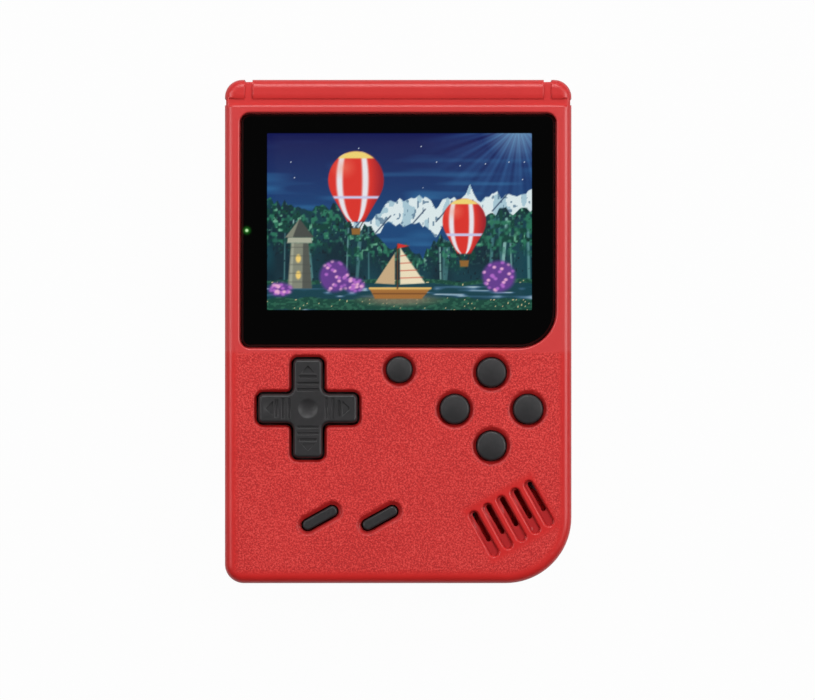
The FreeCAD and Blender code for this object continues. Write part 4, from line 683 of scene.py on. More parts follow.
class Finishes:
    """One material for each of the record's slots."""

    def __init__(self, case: CaseShape) -> None:
        """Make the materials.

        Args:
            case: what the red moulding's grain has to follow.
        """
        self.made = {Slot.RED_SHELL: GrainedShell(case).material()}
        for finish in PLAIN_FINISHES:
            self.made[finish.slot] = finish.material()
        self.made[Slot.BOARD] = CircuitBoard().material()

    def __getitem__(self, slot: Slot) -> bpy.types.Material:
        """A slot's material; the lens makes its own, so its CAD node, which is hidden, gets plain black."""
        return self.made.get(slot, self.made[Slot.CHIP])

    def dress_frame(self) -> None:
        """Give every CAD node that stays in view the finish of its slot."""
        for name, node in frame["nodes"].items():
            for held in node.material_slots:
                held.material = self[Slot(held.material.name.split(".")[0])]
            log.info("dressed %s", name)


# Mesh helpers

def corners(node: str) -> tuple[Vector, Vector]:
    """The lowest and highest corner of a CAD node's box, in millimetres."""
    low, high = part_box(node)
    return low / MM, high / MM


def middle_of(node: str) -> Vector:
    """The middle of a CAD node's box, in millimetres."""
    low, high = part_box(node)
    return (low + high) / 2 / MM


def body_holding(node: str) -> str:
    """The body that a CAD node belongs to."""
    return frame["nodes"][node]["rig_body"]


def bevel(mesh: bmesh.types.BMesh, parts: list, reach: float, steps: int, affect: str = "EDGES",
          clamp: bool = True) -> None:
    """Round edges or corners by the same width on each side.

    Args:
        mesh: the mesh that holds them.
        parts: the edges, or the vertices of a flat face's corners.
        reach: the width taken on each side, in millimetres.
        steps: how many facets take their place.
        affect: EDGES or VERTICES.
        clamp: whether the width is cut down for all where it would run into a neighbour.
    """
    bmesh.ops.bevel(mesh, geom=parts, offset=reach, offset_type="OFFSET", segments=steps, profile=0.5,
                    affect=affect, clamp_overlap=clamp, material=-1)


def flat_grid(mesh: bmesh.types.BMesh, columns: int, rows: int, middle: tuple[float, float, float],
              width: float, length: float) -> None:
    """Lay a level grid into an empty mesh.

    Args:
        mesh: the empty mesh.
        columns: how many cells it has across.
        rows: how many cells it has upwards.
        middle: where its middle lies.
        width: its size across.
        length: its size upwards.
    """
    bmesh.ops.create_grid(mesh, x_segments=columns, y_segments=rows, size=0.5)
    bmesh.ops.scale(mesh, vec=(width, length, 1), verts=mesh.verts)
    bmesh.ops.translate(mesh, vec=middle, verts=mesh.verts)


def raise_faces(mesh: bmesh.types.BMesh, faces: list, height: float, keep: bool = False) -> list:
    """Extrude faces upwards.

    Args:
        mesh: the mesh that holds them.
        faces: the faces.
        height: how far they go up, in millimetres.
        keep: whether they also stay behind, as the underside.

    Returns:
        The raised faces.
    """
    made = bmesh.ops.extrude_face_region(mesh, geom=faces, use_keep_orig=keep)["geom"]
    verts = [item for item in made if isinstance(item, bmesh.types.BMVert)]
    bmesh.ops.translate(mesh, vec=(0, 0, height), verts=verts)
    return [item for item in made if isinstance(item, bmesh.types.BMFace)]


def add_object(name: str, data: bpy.types.ID) -> bpy.types.Object:
    """Put data into the scene as an object at the origin.

    Args:
        name: the object's name.
        data: its mesh, lamp or camera.

    Returns:
        The new object.
    """
    made = bpy.data.objects.new(name, data)
    bpy.context.scene.collection.objects.link(made)
    return made


def add_piece(name: str, mesh: bmesh.types.BMesh, material: bpy.types.Material,
              crease: float = 38.0) -> bpy.types.Object:
    """Turn a bmesh into a smooth-shaded object of the scene.

    Args:
        name: the piece's name.
        mesh: its shape in millimetres, in the frame's own place; it is freed.
        material: its finish.
        crease: the turn, in degrees, above which an edge stays sharp.

    Returns:
        The new object, at the origin.
    """
    bmesh.ops.scale(mesh, vec=(MM, MM, MM), verts=mesh.verts)
    for face in mesh.faces:
        face.smooth = True
    data = bpy.data.meshes.new(name)
    mesh.to_mesh(data)
    mesh.free()
    data.set_sharp_from_angle(angle=math.radians(crease))
    data.materials.append(material)
    return add_object(name, data)


def weigh_normals(piece: bpy.types.Object) -> None:
    """Let large flat faces keep their own shading next to softened edges."""
    weigh = piece.modifiers.new("flat_faces", "WEIGHTED_NORMAL")
    weigh.keep_sharp = True


def settle(piece: bpy.types.Object, body: str, slot: Slot, *nodes: str) -> bpy.types.Object:
    """Make a piece part of the console.

    Args:
        piece: the finished piece.
        body: the body that it rides on.
        slot: the record's slot that it takes its finish from; not used here.
        nodes: the CAD nodes that it stands for.

    Returns:
        The same piece.
    """
    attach(piece, body)
    if nodes:
        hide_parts(*nodes)
    log.info("%s rides on %s, %d faces", piece.name, body, len(piece.data.polygons))
    return piece


@dataclass
class SoftenedNode:
    """A rigid CAD node as one merged mesh whose outer edges are rounded as moulded ones are."""

    node: str
    slot: Slot
    edge: float
    broken_edge: float = 0.0
    steps: int = 2
    lowest: float = -1.0
    even: bool = False
    openings: tuple[Opening, ...] = ()
    drawn_in: float = 0.3
    drawn_depth: float = 2.0
    crisp_from: float = math.inf
    crease: float = 38.0
    slices: int = 0
    slice_slack: float = 0.001
    broken_angle: float = 28.0
    sharp_angle: float = 60.0
    sharp_share: float = 0.62
    broken_share: float = 0.9
    weld: float = 0.002
    flat_angle: float = 0.2
    least_drop: float = 0.02

    def build(self, finishes: Finishes) -> bpy.types.Object:
        """Merge the node's triangles, round its outer edges and dress it.

        Args:
            finishes: the material of each slot.

        Returns:
            The piece that stands for the node.
        """
        mesh = bmesh.new()
        mesh.from_mesh(frame["nodes"][self.node].data)
        bmesh.ops.scale(mesh, vec=(1 / MM, 1 / MM, 1 / MM), verts=mesh.verts)
        bmesh.ops.remove_doubles(mesh, verts=mesh.verts, dist=self.weld)
        bmesh.ops.dissolve_limit(mesh, angle_limit=math.radians(self.flat_angle), verts=mesh.verts,
                                 edges=mesh.edges)
        for vert in mesh.verts:
            if self.openings and self.lowest - self.drawn_depth < vert.co.z < self.lowest:
                for opening in self.openings:
                    opening.draw_in(vert.co, self.drawn_in)
        self._round(mesh, self.sharp_angle, 180.0, self.edge, self.sharp_share)
        self._round(mesh, self.broken_angle, self.sharp_angle, self.broken_edge or self.edge,
                    self.broken_share)
        self._slice(mesh)
        made = add_piece(self.node + "_finish", mesh, finishes[self.slot], self.crease)
        weigh_normals(made)
        return settle(made, body_holding(self.node), self.slot, self.node)

    def _round(self, mesh: bmesh.types.BMesh, least: float, most: float, reach: float, share: float) -> None:
        """Bevel the outer corners that show, each run of them by itself.

        Args:
            mesh: the node's mesh.
            least: the least turn of a corner, in degrees.
            most: the most that it turns.
            reach: the width taken on each side.
            share: the most of the wall below an even run that may go.
        """
        rims = set()
        for edge in mesh.edges:
            if len(edge.link_faces) != 2 or not edge.is_convex:
                continue
            shown = min(vert.co.z for vert in edge.verts) >= self.lowest
            if shown and math.radians(least) < edge.calc_face_angle() <= math.radians(most):
                rims.add(edge)
        for run in self._runs(rims):
            if min(vert.co.y for edge in run for vert in edge.verts) > self.crisp_from:
                continue
            offset = min(reach, share * self._wall_under(run)) if self.even else reach
            bevel(mesh, run, offset, self.steps, clamp=not self.even)

    def _slice(self, mesh: bmesh.types.BMesh) -> None:
        """Cut long thin facets across, so that a rounded edge shades alike along its whole length.

        Args:
            mesh: the node's mesh, its edges already rounded.
        """
        low, high = corners(self.node)
        for way in (Vector((1, 0, 0)), Vector((0, 1, 0))):
            for step in range(1, self.slices):
                spot = low.lerp(high, step / self.slices)
                bmesh.ops.bisect_plane(mesh, geom=mesh.verts[:] + mesh.edges[:] + mesh.faces[:],
                                       dist=self.slice_slack, plane_co=spot, plane_no=way)

    def _wall_under(self, run: list) -> float:
        """Measure the wall that a run of edges stands on.

        Args:
            run: the edges.

        Returns:
            The least length of an edge that leads down from the run.
        """
        lengths = []
        for vert in {vert for edge in run for vert in edge.verts}:
            for edge in vert.link_edges:
                if edge not in run and edge.other_vert(vert).co.z < vert.co.z - self.least_drop:
                    lengths.append(edge.calc_length())
        return min(lengths, default=self.edge)

    def _runs(self, rims: set) -> list[list]:
        """Sort edges into runs.

        Args:
            rims: the edges, which are taken out one by one.

        Returns:
            The runs of edges that touch one another, in a fixed order.
        """
        runs = []
        for start in sorted(rims, key=lambda edge: edge.index):
            if start not in rims:
                continue
            rims.discard(start)
            run, ends = [start], list(start.verts)
            while ends:
                for edge in ends.pop().link_edges:
                    if edge in rims:
                        rims.discard(edge)
                        run.append(edge)
                        ends.extend(edge.verts)
            runs.append(run)
        return runs


# Controls

@dataclass
class RoundCap:
    """A turned button cap: crowned top, rounded shoulder and the flange that holds it in."""

    node: str
    cap_radius: float
    crown: float = 0.35
    shoulder: float = 0.55
    flange_height: float = 1.3
    rings: int = 6
    turns: int = 72
    weld: float = 0.001

    def profile(self, low: float, high: float, flange: float) -> list[tuple[float, float]]:
        """Draw the cap's half section.

        Args:
            low: the height of the flange's underside.
            high: the height of the crown.
            flange: the flange's radius.

        Returns:
            Radius and height, from the middle of the crown down to the middle of the underside.
        """
        points = []
        edge = self.cap_radius - self.shoulder
        for step in range(self.rings + 1):
            radius = edge * step / self.rings
            points.append((radius, high - self.crown * (radius / self.cap_radius) ** 2))
        top = points[-1][1]
        for step in range(1, self.rings + 1):
            turn = math.pi / 2 * step / self.rings
            points.append((edge + self.shoulder * math.sin(turn), top - self.shoulder * (1 - math.cos(turn))))
        seat = low + self.flange_height
        return points + [(self.cap_radius, seat), (flange, seat), (flange, low), (0, low)]

    def build(self, finishes: Finishes) -> bpy.types.Object:
        """Spin the profile about the button's own axis.

        Args:
            finishes: the material of each slot.

        Returns:
            The piece that stands for the button.
        """
        low, high = corners(self.node)
        centre = middle_of(self.node)
        mesh = bmesh.new()
        spots = [mesh.verts.new((centre.x + radius, centre.y, height))
                 for radius, height in self.profile(low.z, high.z, (high.x - low.x) / 2)]
        edges = [mesh.edges.new(pair) for pair in zip(spots, spots[1:])]
        bmesh.ops.spin(mesh, geom=spots + edges, cent=(centre.x, centre.y, 0), axis=(0, 0, 1),
                       angle=math.tau, steps=self.turns, use_merge=True)
        bmesh.ops.remove_doubles(mesh, verts=mesh.verts, dist=self.weld)
        bmesh.ops.recalc_face_normals(mesh, faces=mesh.faces)
        made = add_piece(self.node + "_finish", mesh, finishes[Slot.CHARCOAL])
        return settle(made, body_holding(self.node), Slot.CHARCOAL, self.node)


@dataclass
class PillCap:
    """A raked pill-shaped cap with its flange."""

    node: str
    length: float = 8.8
    width: float = 2.4
    rake: float = 29.0
    flange_reach: float = 1.05
    flange_height: float = 1.3
    shoulder: float = 0.45
    shoulder_steps: int = 5
    ends: int = 50

    def build(self, finishes: Finishes) -> bpy.types.Object:
        """Draw the flange out of a circle, then step in and raise the cap.

        Args:
            finishes: the material of each slot.

        Returns:
            The piece that stands for the button.
        """
        low, high = corners(self.node)
        centre = middle_of(self.node)
        mesh = bmesh.new()
        bmesh.ops.create_circle(mesh, cap_ends=True, segments=self.ends,
                                radius=self.width / 2 + self.flange_reach)
        reach = (self.length - self.width) / 2
        for vert in mesh.verts:
            vert.co.x += math.copysign(reach, vert.co.x)
        crown = raise_faces(mesh, mesh.faces[:], self.flange_height, keep=True)
        bmesh.ops.inset_region(mesh, faces=crown, thickness=self.flange_reach)
        crown = raise_faces(mesh, crown, high.z - low.z - self.flange_height)
        bevel(mesh, list(crown[0].edges), self.shoulder, self.shoulder_steps)
        bmesh.ops.recalc_face_normals(mesh, faces=mesh.faces)
        raked = Matrix.Rotation(math.radians(self.rake), 4, "Z")
        place = Matrix.Translation((centre.x, centre.y, low.z)) @ raked
        bmesh.ops.transform(mesh, matrix=place, verts=mesh.verts)
        made = add_piece(self.node + "_finish", mesh, finishes[Slot.CHARCOAL])
        weigh_normals(made)
        return settle(made, body_holding(self.node), Slot.CHARCOAL, self.node)


@dataclass
class Controls:
    """The round caps, the raked ones and the cross, with the openings that they stand in."""

    cap_radius: float = 3.4
    reset_radius: float = 3.0
    round_gap: float = 0.5
    pill_gap: float = 0.6
    cross_span: float = 22.8
    cross_arm: float = 6.7
    cross_corner: float = 1.0
    cross_edge: float = 0.24
    cross_steps: int = 3

    def caps(self) -> list[RoundCap]:
        """The five round caps, the small one last."""
        wide = [RoundCap(node, self.cap_radius) for node in ("x_button", "y_button", "a_button", "b_button")]
        return wide + [RoundCap("reset_button", self.reset_radius)]

    def pills(self) -> list[PillCap]:
        """The two raked caps."""
        return [PillCap(node) for node in ("select_button", "start_button")]

    def openings(self) -> tuple[Opening, ...]:
        """Find the face's openings, each a little wider than its control.

        Returns:
            One for each round cap, one for each raked cap, and the two bars of the cross.
        """
        found = []
        for cap in self.caps():
            x, y, _ = middle_of(cap.node)
            found.append(Opening(x, y, 0.0, 0.0, cap.cap_radius + self.round_gap))
        for pill in self.pills():
            x, y, _ = middle_of(pill.node)
            found.append(Opening(x, y, (pill.length - pill.width) / 2, 0.0, pill.width / 2 + self.pill_gap,
                                 pill.rake))
        x, y, _ = middle_of("dpad")
        corner = self.cross_corner
        for turn in (0.0, 90.0):
            found.append(Opening(x, y, self.cross_span / 2 - corner, self.cross_arm / 2 - corner,
                                 corner + self.round_gap, turn))
        return tuple(found)

    def build(self, finishes: Finishes) -> None:
        """Build every control.

        Args:
            finishes: the material of each slot.
        """
        for control in (*self.caps(), *self.pills()):
            control.build(finishes)
        SoftenedNode("dpad", Slot.CHARCOAL, self.cross_edge, steps=self.cross_steps).build(finishes)


# Screen

class Painter:
    """Paints masks of colour over points given in millimetres from the picture's lower left corner."""

    def __init__(self, across: np.ndarray, up: np.ndarray, seed: int = 11) -> None:
        """Start with a black picture.

        Args:
            across: each point's distance from the left edge.
            up: each point's distance from the lower edge.
            seed: the start of the random draws.
        """
        self.x = across
        self.y = up
        self.shade = np.zeros((len(across), 3))
        self.random = np.random.default_rng(seed)

    def wash(self, mask: np.ndarray, colour: Colour) -> None:
        """Lay a colour over the picture, as thick as the mask."""
        mask = np.clip(mask, 0, 1)[:, None]
        self.shade = self.shade * (1 - mask) + colour.array() * mask

    def grain(self, size: float, stretch: float = 1.0) -> np.ndarray:
        """Draw smooth random values.

        Args:
            size: how wide their lumps are.
            stretch: how high a lump is for its width.

        Returns:
            A value from 0 to 1 for each point.
        """
        columns = int(self.x.max() / size) + 3
        rows = int(self.y.max() / (size * stretch)) + 3
        lattice = self.random.random((rows, columns))
        at_x, at_y = self.x / size, self.y / (size * stretch)
        left, low = at_x.astype(int), at_y.astype(int)
        part_x, part_y = at_x - left, at_y - low
        part_x, part_y = part_x ** 2 * (3 - 2 * part_x), part_y ** 2 * (3 - 2 * part_y)
        lower = lattice[low, left] * (1 - part_x) + lattice[low, left + 1] * part_x
        upper = lattice[low + 1, left] * (1 - part_x) + lattice[low + 1, left + 1] * part_x
        return lower * (1 - part_y) + upper * part_y

    def line(self, size: float, sway: float) -> np.ndarray:
        """A wandering height along x, within plus or minus sway."""
        knots = self.random.random(int(self.x.max() / size) + 3) * 2 - 1
        return np.interp(self.x / size, np.arange(len(knots)), knots) * sway

    def oval(self, x: float, y: float, wide: float, high: float, soft: float = 0.3) -> np.ndarray:
        """A filled oval with half sizes wide and high."""
        far = np.hypot((self.x - x) / wide, (self.y - y) / high)
        return np.clip((1 - far) * min(wide, high) / soft + 0.5, 0, 1)

    def bar(self, x0: float, y0: float, x1: float, y1: float, half: float, soft: float = 0.25) -> np.ndarray:
        """Draw a straight stroke.

        Args:
            x0: where it starts across.
            y0: where it starts upwards.
            x1: where it ends across.
            y1: where it ends upwards.
            half: half its width.
            soft: how wide its edge blends.

        Returns:
            The stroke's mask.
        """
        run_x, run_y = x1 - x0, y1 - y0
        along = ((self.x - x0) * run_x + (self.y - y0) * run_y) / (run_x ** 2 + run_y ** 2)
        along = np.clip(along, 0, 1)
        far = np.hypot(self.x - x0 - along * run_x, self.y - y0 - along * run_y)
        return np.clip((half - far) / soft + 0.5, 0, 1)

    def shape(self, points: list[tuple[float, float]], soft: float = 0.25) -> np.ndarray:
        """Fill a convex polygon.

        Args:
            points: its corners, counter-clockwise.
            soft: how wide its edge blends.

        Returns:
            The polygon's mask.
        """
        inside = np.full(len(self.x), 1e9)
        for (x0, y0), (x1, y1) in zip(points, points[1:] + points[:1]):
            length = math.hypot(x1 - x0, y1 - y0)
            inside = np.minimum(inside, ((x1 - x0) * (self.y - y0) - (y1 - y0) * (self.x - x0)) / length)
        return np.clip(inside / soft + 0.5, 0, 1)

    def block(self, x: float, y: float, foot: tuple[float, float, float],
              top: tuple[float, float, float]) -> np.ndarray:
        """Fill a form with a level foot and a level top.

        Args:
            x: the place that its sides are counted from.
            y: the place that its heights are counted from.
            foot: the foot's height, left end and right end.
            top: the top's height, left end and right end.

        Returns:
            The form's mask.
        """
        low, low_left, low_right = foot
        high, high_left, high_right = top
        return self.shape([(x + low_left, y + low), (x + low_right, y + low),
                           (x + high_right, y + high), (x + high_left, y + high)])

    def under(self, height: np.ndarray, soft: float = 0.25) -> np.ndarray:
        """Everything below a height that changes along x."""
        return np.clip((height - self.y) / soft + 0.5, 0, 1)


@dataclass
class NightValley:
    """A made-up night landscape: rays, snowy ridge, woods, lake, balloons, a sailing boat and a tower."""

    art: Painter
    width: float
    length: float

    def paint(self) -> np.ndarray:
        """Paint the whole picture, from the back to the front.

        Returns:
            A row of red, green and blue from 0 to 1 for each point.
        """
        self._sky()
        self._ridge()
        self._woods()
        self._lake()
        self._tower(7.5, 6.5)
        self._boat(30.5, 3.6)
        self._balloon(20.5, 30.0, 6.4)
        self._balloon(45.5, 20.5, 5.0)
        self._flowers()
        return np.clip(self.art.shade, 0, 1)

    def _sky(self) -> None:
        """Navy sky, streaked lower down, with pale rays from the upper right corner."""
        art = self.art
        art.wash(np.ones(len(art.x)), Colour(20, 26, 84))
        art.wash((40 - art.y) / 18, Colour(24, 72, 124))
        streaks = art.grain(9.0, 0.12)
        art.wash((streaks - 0.5) * 1.4 * np.clip((40 - art.y) / 12, 0, 1), Colour(52, 118, 168))
        corner_x, corner_y = self.width - 3.0, self.length + 2.0
        far = np.hypot(art.x - corner_x, art.y - corner_y)
        turn = np.arctan2(art.y - corner_y, art.x - corner_x)
        rays = 0.5 + 0.3 * np.sin(turn * 23) + 0.2 * np.sin(turn * 57 + 1.0)
        art.wash(np.clip(1 - far / 24, 0, 1) * rays * 0.8, Colour(64, 124, 180))
        art.wash(np.clip(1 - far / 9, 0, 1) * 0.8, Colour(150, 198, 226))
        art.wash((art.grain(0.45) > 0.985) * np.clip((art.y - 24) / 6, 0, 1), Colour(220, 232, 250))

    def _ridge(self) -> None:
        """A jagged snow ridge that climbs to the right, with thin dark clefts."""
        art = self.art
        crest = 17.5 + art.x * 0.19 + art.line(2.6, 2.4) + art.line(0.9, 0.7)
        foot = crest - 6.5 - art.line(3.4, 2.6)
        snow = art.under(crest) * (1 - art.under(foot)) * np.clip((art.x - 14) / 1.5, 0, 1)
        art.wash(snow, Colour(228, 242, 244))
        art.wash(snow * (art.grain(1.6, 1.8) > 0.66) * 0.7, Colour(150, 190, 208))
        art.wash(snow * (art.grain(0.6, 1.6) > 0.8) * 0.8, Colour(92, 124, 150))
        for x in (18.0, 25.0, 33.0, 39.0, 44.0, 52.0):
            y = 17.5 + x * 0.19
            art.wash(art.bar(x, y - 4.5, x + 3.5, y - 0.5, 0.12) * snow, Colour(40, 60, 90))

    def _woods(self) -> None:
        """Teal woods, high at both sides and low in the middle: leafy crowns over a few pale trunks."""
        art = self.art
        dip = np.exp(-((art.x - 34.0) / 13.0) ** 2)
        crown = 24.5 - dip * 11.0 + art.line(4.0, 2.4) + art.line(0.8, 1.2)
        woods = art.under(crown)
        art.wash(woods, Colour(12, 44, 56))
        art.wash(woods * (art.grain(4.0, 1.6) - 0.35), Colour(24, 84, 96))
        for _ in range(17):
            x, lean = art.random.random() * self.width, (art.random.random() - 0.5) * 3
            half, pale = 0.12 + art.random.random() * 0.26, art.random.random()
            shade = Colour(80 + 84 * pale, 144 + 66 * pale, 146 + 54 * pale)
            art.wash(art.bar(x, 4.5, x + lean, 21.0, half) * woods * (0.4 + 0.5 * pale), shade)
        high = np.clip((art.y - crown + 11.5 - dip * 6.0) / 3.5, 0, 1)
        for size, least, shade in ((0.9, 0.45, Colour(14, 66, 58)), (0.7, 0.55, Colour(44, 116, 92)),
                                   (0.55, 0.7, Colour(104, 172, 140)), (0.5, 0.82, Colour(178, 224, 204))):
            leaves = art.grain(size, 1.2) * 0.72 + art.grain(2.6, 0.8) * 0.28
            art.wash(woods * high * np.clip((leaves - least) * 6, 0, 1), shade)
        art.wash(woods * (art.grain(0.5, 1.2) > 0.88) * 0.6, Colour(6, 20, 32))

    def _lake(self) -> None:
        """Teal water with streaks of the lights above it, between two dark mossy banks."""
        art = self.art
        shore = 6.4 + art.line(5.0, 0.5)
        water = art.under(shore)
        art.wash(water, Colour(18, 66, 78))
        streaks = art.grain(2.8, 0.16)
        art.wash(water * np.clip((streaks - 0.6) * 3, 0, 1), Colour(84, 122, 160))
        art.wash(water * np.clip((streaks - 0.8) * 6, 0, 1), Colour(178, 204, 214))
        for edge, high in ((shore, 0.9), (1.3 + art.line(2.2, 0.4), 2.8)):
            bank = art.under(edge + high / 2) * (1 - art.under(edge - high / 2))
            art.wash(bank, Colour(22, 72, 60))
            art.wash(bank * (art.grain(0.6, 0.6) > 0.6), Colour(42, 98, 78))
            art.wash(bank * (art.grain(0.4) > 0.9), Colour(206, 196, 150))

    def _boat(self, x: float, y: float) -> None:
        """Paint a wooden boat under two cream sails with a red pennant, and its reflection.

        Args:
            x: the place of its middle.
            y: the height of its waterline.
        """
        art = self.art
        wood, cream, shade = Colour(168, 112, 54), Colour(244, 230, 196), Colour(206, 176, 136)
        art.wash(art.oval(x, y - 1.2, 8.0, 1.3, 1.2) * 0.7, Colour(150, 130, 108))
        art.wash(art.block(x, y, (-1.0, -5.6, 5.2), (1.6, -7.0, 7.4)), wood)
        art.wash(art.bar(x - 6.8, y + 1.4, x + 7.2, y + 1.4, 0.25), Colour(232, 190, 108))
        art.wash(art.bar(x - 6.0, y + 0.2, x + 6.2, y + 0.2, 0.12) * 0.8, Colour(92, 52, 26))
        art.wash(art.bar(x - 0.4, y + 1.4, x - 0.4, y + 11.4, 0.16), Colour(92, 60, 36))
        art.wash(art.shape([(x + 0.2, y + 2.3), (x + 6.0, y + 2.6), (x + 0.2, y + 10.8)]), cream)
        art.wash(art.shape([(x - 5.6, y + 2.6), (x - 1.0, y + 2.3), (x - 1.0, y + 9.6)]), shade)
        for step in range(4):
            high = y + 3.8 + step * 1.7
            seam = art.bar(x + 0.3, high, x + 5.4 - step * 1.25, high + 0.15, 0.1)
            art.wash(seam * 0.8, Colour(196, 60, 48))
        pennant = art.shape([(x - 0.4, y + 10.6), (x + 2.4, y + 11.2), (x - 0.4, y + 11.8)])
        art.wash(pennant, Colour(222, 48, 40))

    def _tower(self, x: float, y: float) -> None:
        """Paint a small round tower of grey stone under a pointed roof.

        Args:
            x: the place of its middle.
            y: the height that its wall is counted from.
        """
        art = self.art
        stone, shadow, light = Colour(134, 138, 122), Colour(74, 78, 74), Colour(176, 180, 160)
        for foot, top, share, shade in (
                ((-1.5, -2.8, 2.8), (9.0, -2.0, 2.0), 1.0, stone),
                ((-1.5, 0.6, 2.8), (9.0, 0.8, 2.0), 0.8, shadow),
                ((-1.5, -2.5, -1.8), (9.0, -1.8, -1.3), 0.7, light),
                ((9.0, -2.9, 2.9), (10.3, -2.7, 2.7), 1.0, light)):
            art.wash(art.block(x, y, foot, top) * share, shade)
        for right, shade in ((3.3, shadow), (-1.6, stone)):
            art.wash(art.shape([(x - 3.3, y + 10.3), (x + right, y + 10.3), (x, y + 14.6)]), shade)
        for level in (1.6, 5.4):
            art.wash(art.oval(x - 0.3, y + level, 0.6, 0.95), Colour(250, 214, 120))
        for course in range(5):
            art.wash(art.bar(x - 2.6, y + course * 2.0, x + 2.5, y + course * 2.0, 0.1) * 0.5, shadow)

    def _balloon(self, x: float, y: float, radius: float) -> None:
        """Paint a red balloon with pale gores, a golden crown and a small basket.

        Args:
            x: the place of its middle.
            y: the height of its middle.
            radius: how wide it is to each side.
        """
        art = self.art
        neck = art.block(x, y, (-radius * 1.5, -radius * 0.3, radius * 0.3),
                         (-radius * 0.5, -radius * 0.88, radius * 0.88))
        bag = np.maximum(art.oval(x, y, radius, radius * 1.04), neck)
        art.wash(bag, Colour(226, 52, 42))
        bulge = np.sqrt(np.clip(1.3 - ((art.y - y) / radius) ** 2 * 0.55, 0.1, 2))
        across = (art.x - x) / (radius * bulge)
        for gore in (-0.52, 0.3):
            art.wash(bag * np.clip((0.1 - np.abs(across - gore)) * 12 + 0.5, 0, 1), Colour(240, 238, 244))
        art.wash(bag * np.clip((across - 0.45) * 1.6, 0, 0.6), Colour(120, 14, 40))
        shine = np.clip(1 - np.hypot(across + 0.4, (art.y - y) / radius - 0.45) * 2.2, 0, 1)
        art.wash(bag * shine * 0.5, Colour(255, 150, 120))
        art.wash(bag * np.clip((art.y - y - radius * 0.76) * 3, 0, 1), Colour(248, 220, 120))
        belt = np.clip((0.3 - np.abs(art.y - y + radius * 0.62)) * 4 + 0.5, 0, 1)
        art.wash(bag * belt, Colour(206, 206, 240))
        low = y - radius * 1.5
        for side in (-1, 1):
            rope = art.bar(x + side * radius * 0.26, low, x + side * 0.8, low - 1.5, 0.09)
            art.wash(rope, Colour(40, 26, 30))
        art.wash(art.block(x, low, (-3.0, -0.9, 0.9), (-1.5, -1.1, 1.1)), Colour(150, 104, 48))

    def _flowers(self) -> None:
        """Four banks of purple and pink blossom by the water."""
        art = self.art
        for x, y, wide, high in ((15.5, 7.8, 3.4, 3.6), (20.0, 5.8, 2.4, 1.7),
                                 (53.5, 7.8, 3.8, 3.6), (3.0, 4.8, 2.6, 1.6)):
            bank = art.oval(x, y, wide, high, 0.9)
            art.wash(bank, Colour(104, 62, 146))
            for _ in range(26):
                turn, far = art.random.random() * math.tau, math.sqrt(art.random.random())
                petal = art.oval(x + wide * far * math.cos(turn), y + high * far * math.sin(turn), 0.42, 0.34)
                pink = art.random.random() > 0.5
                art.wash(petal * bank, Colour(240, 176, 218) if pink else Colour(182, 108, 204))


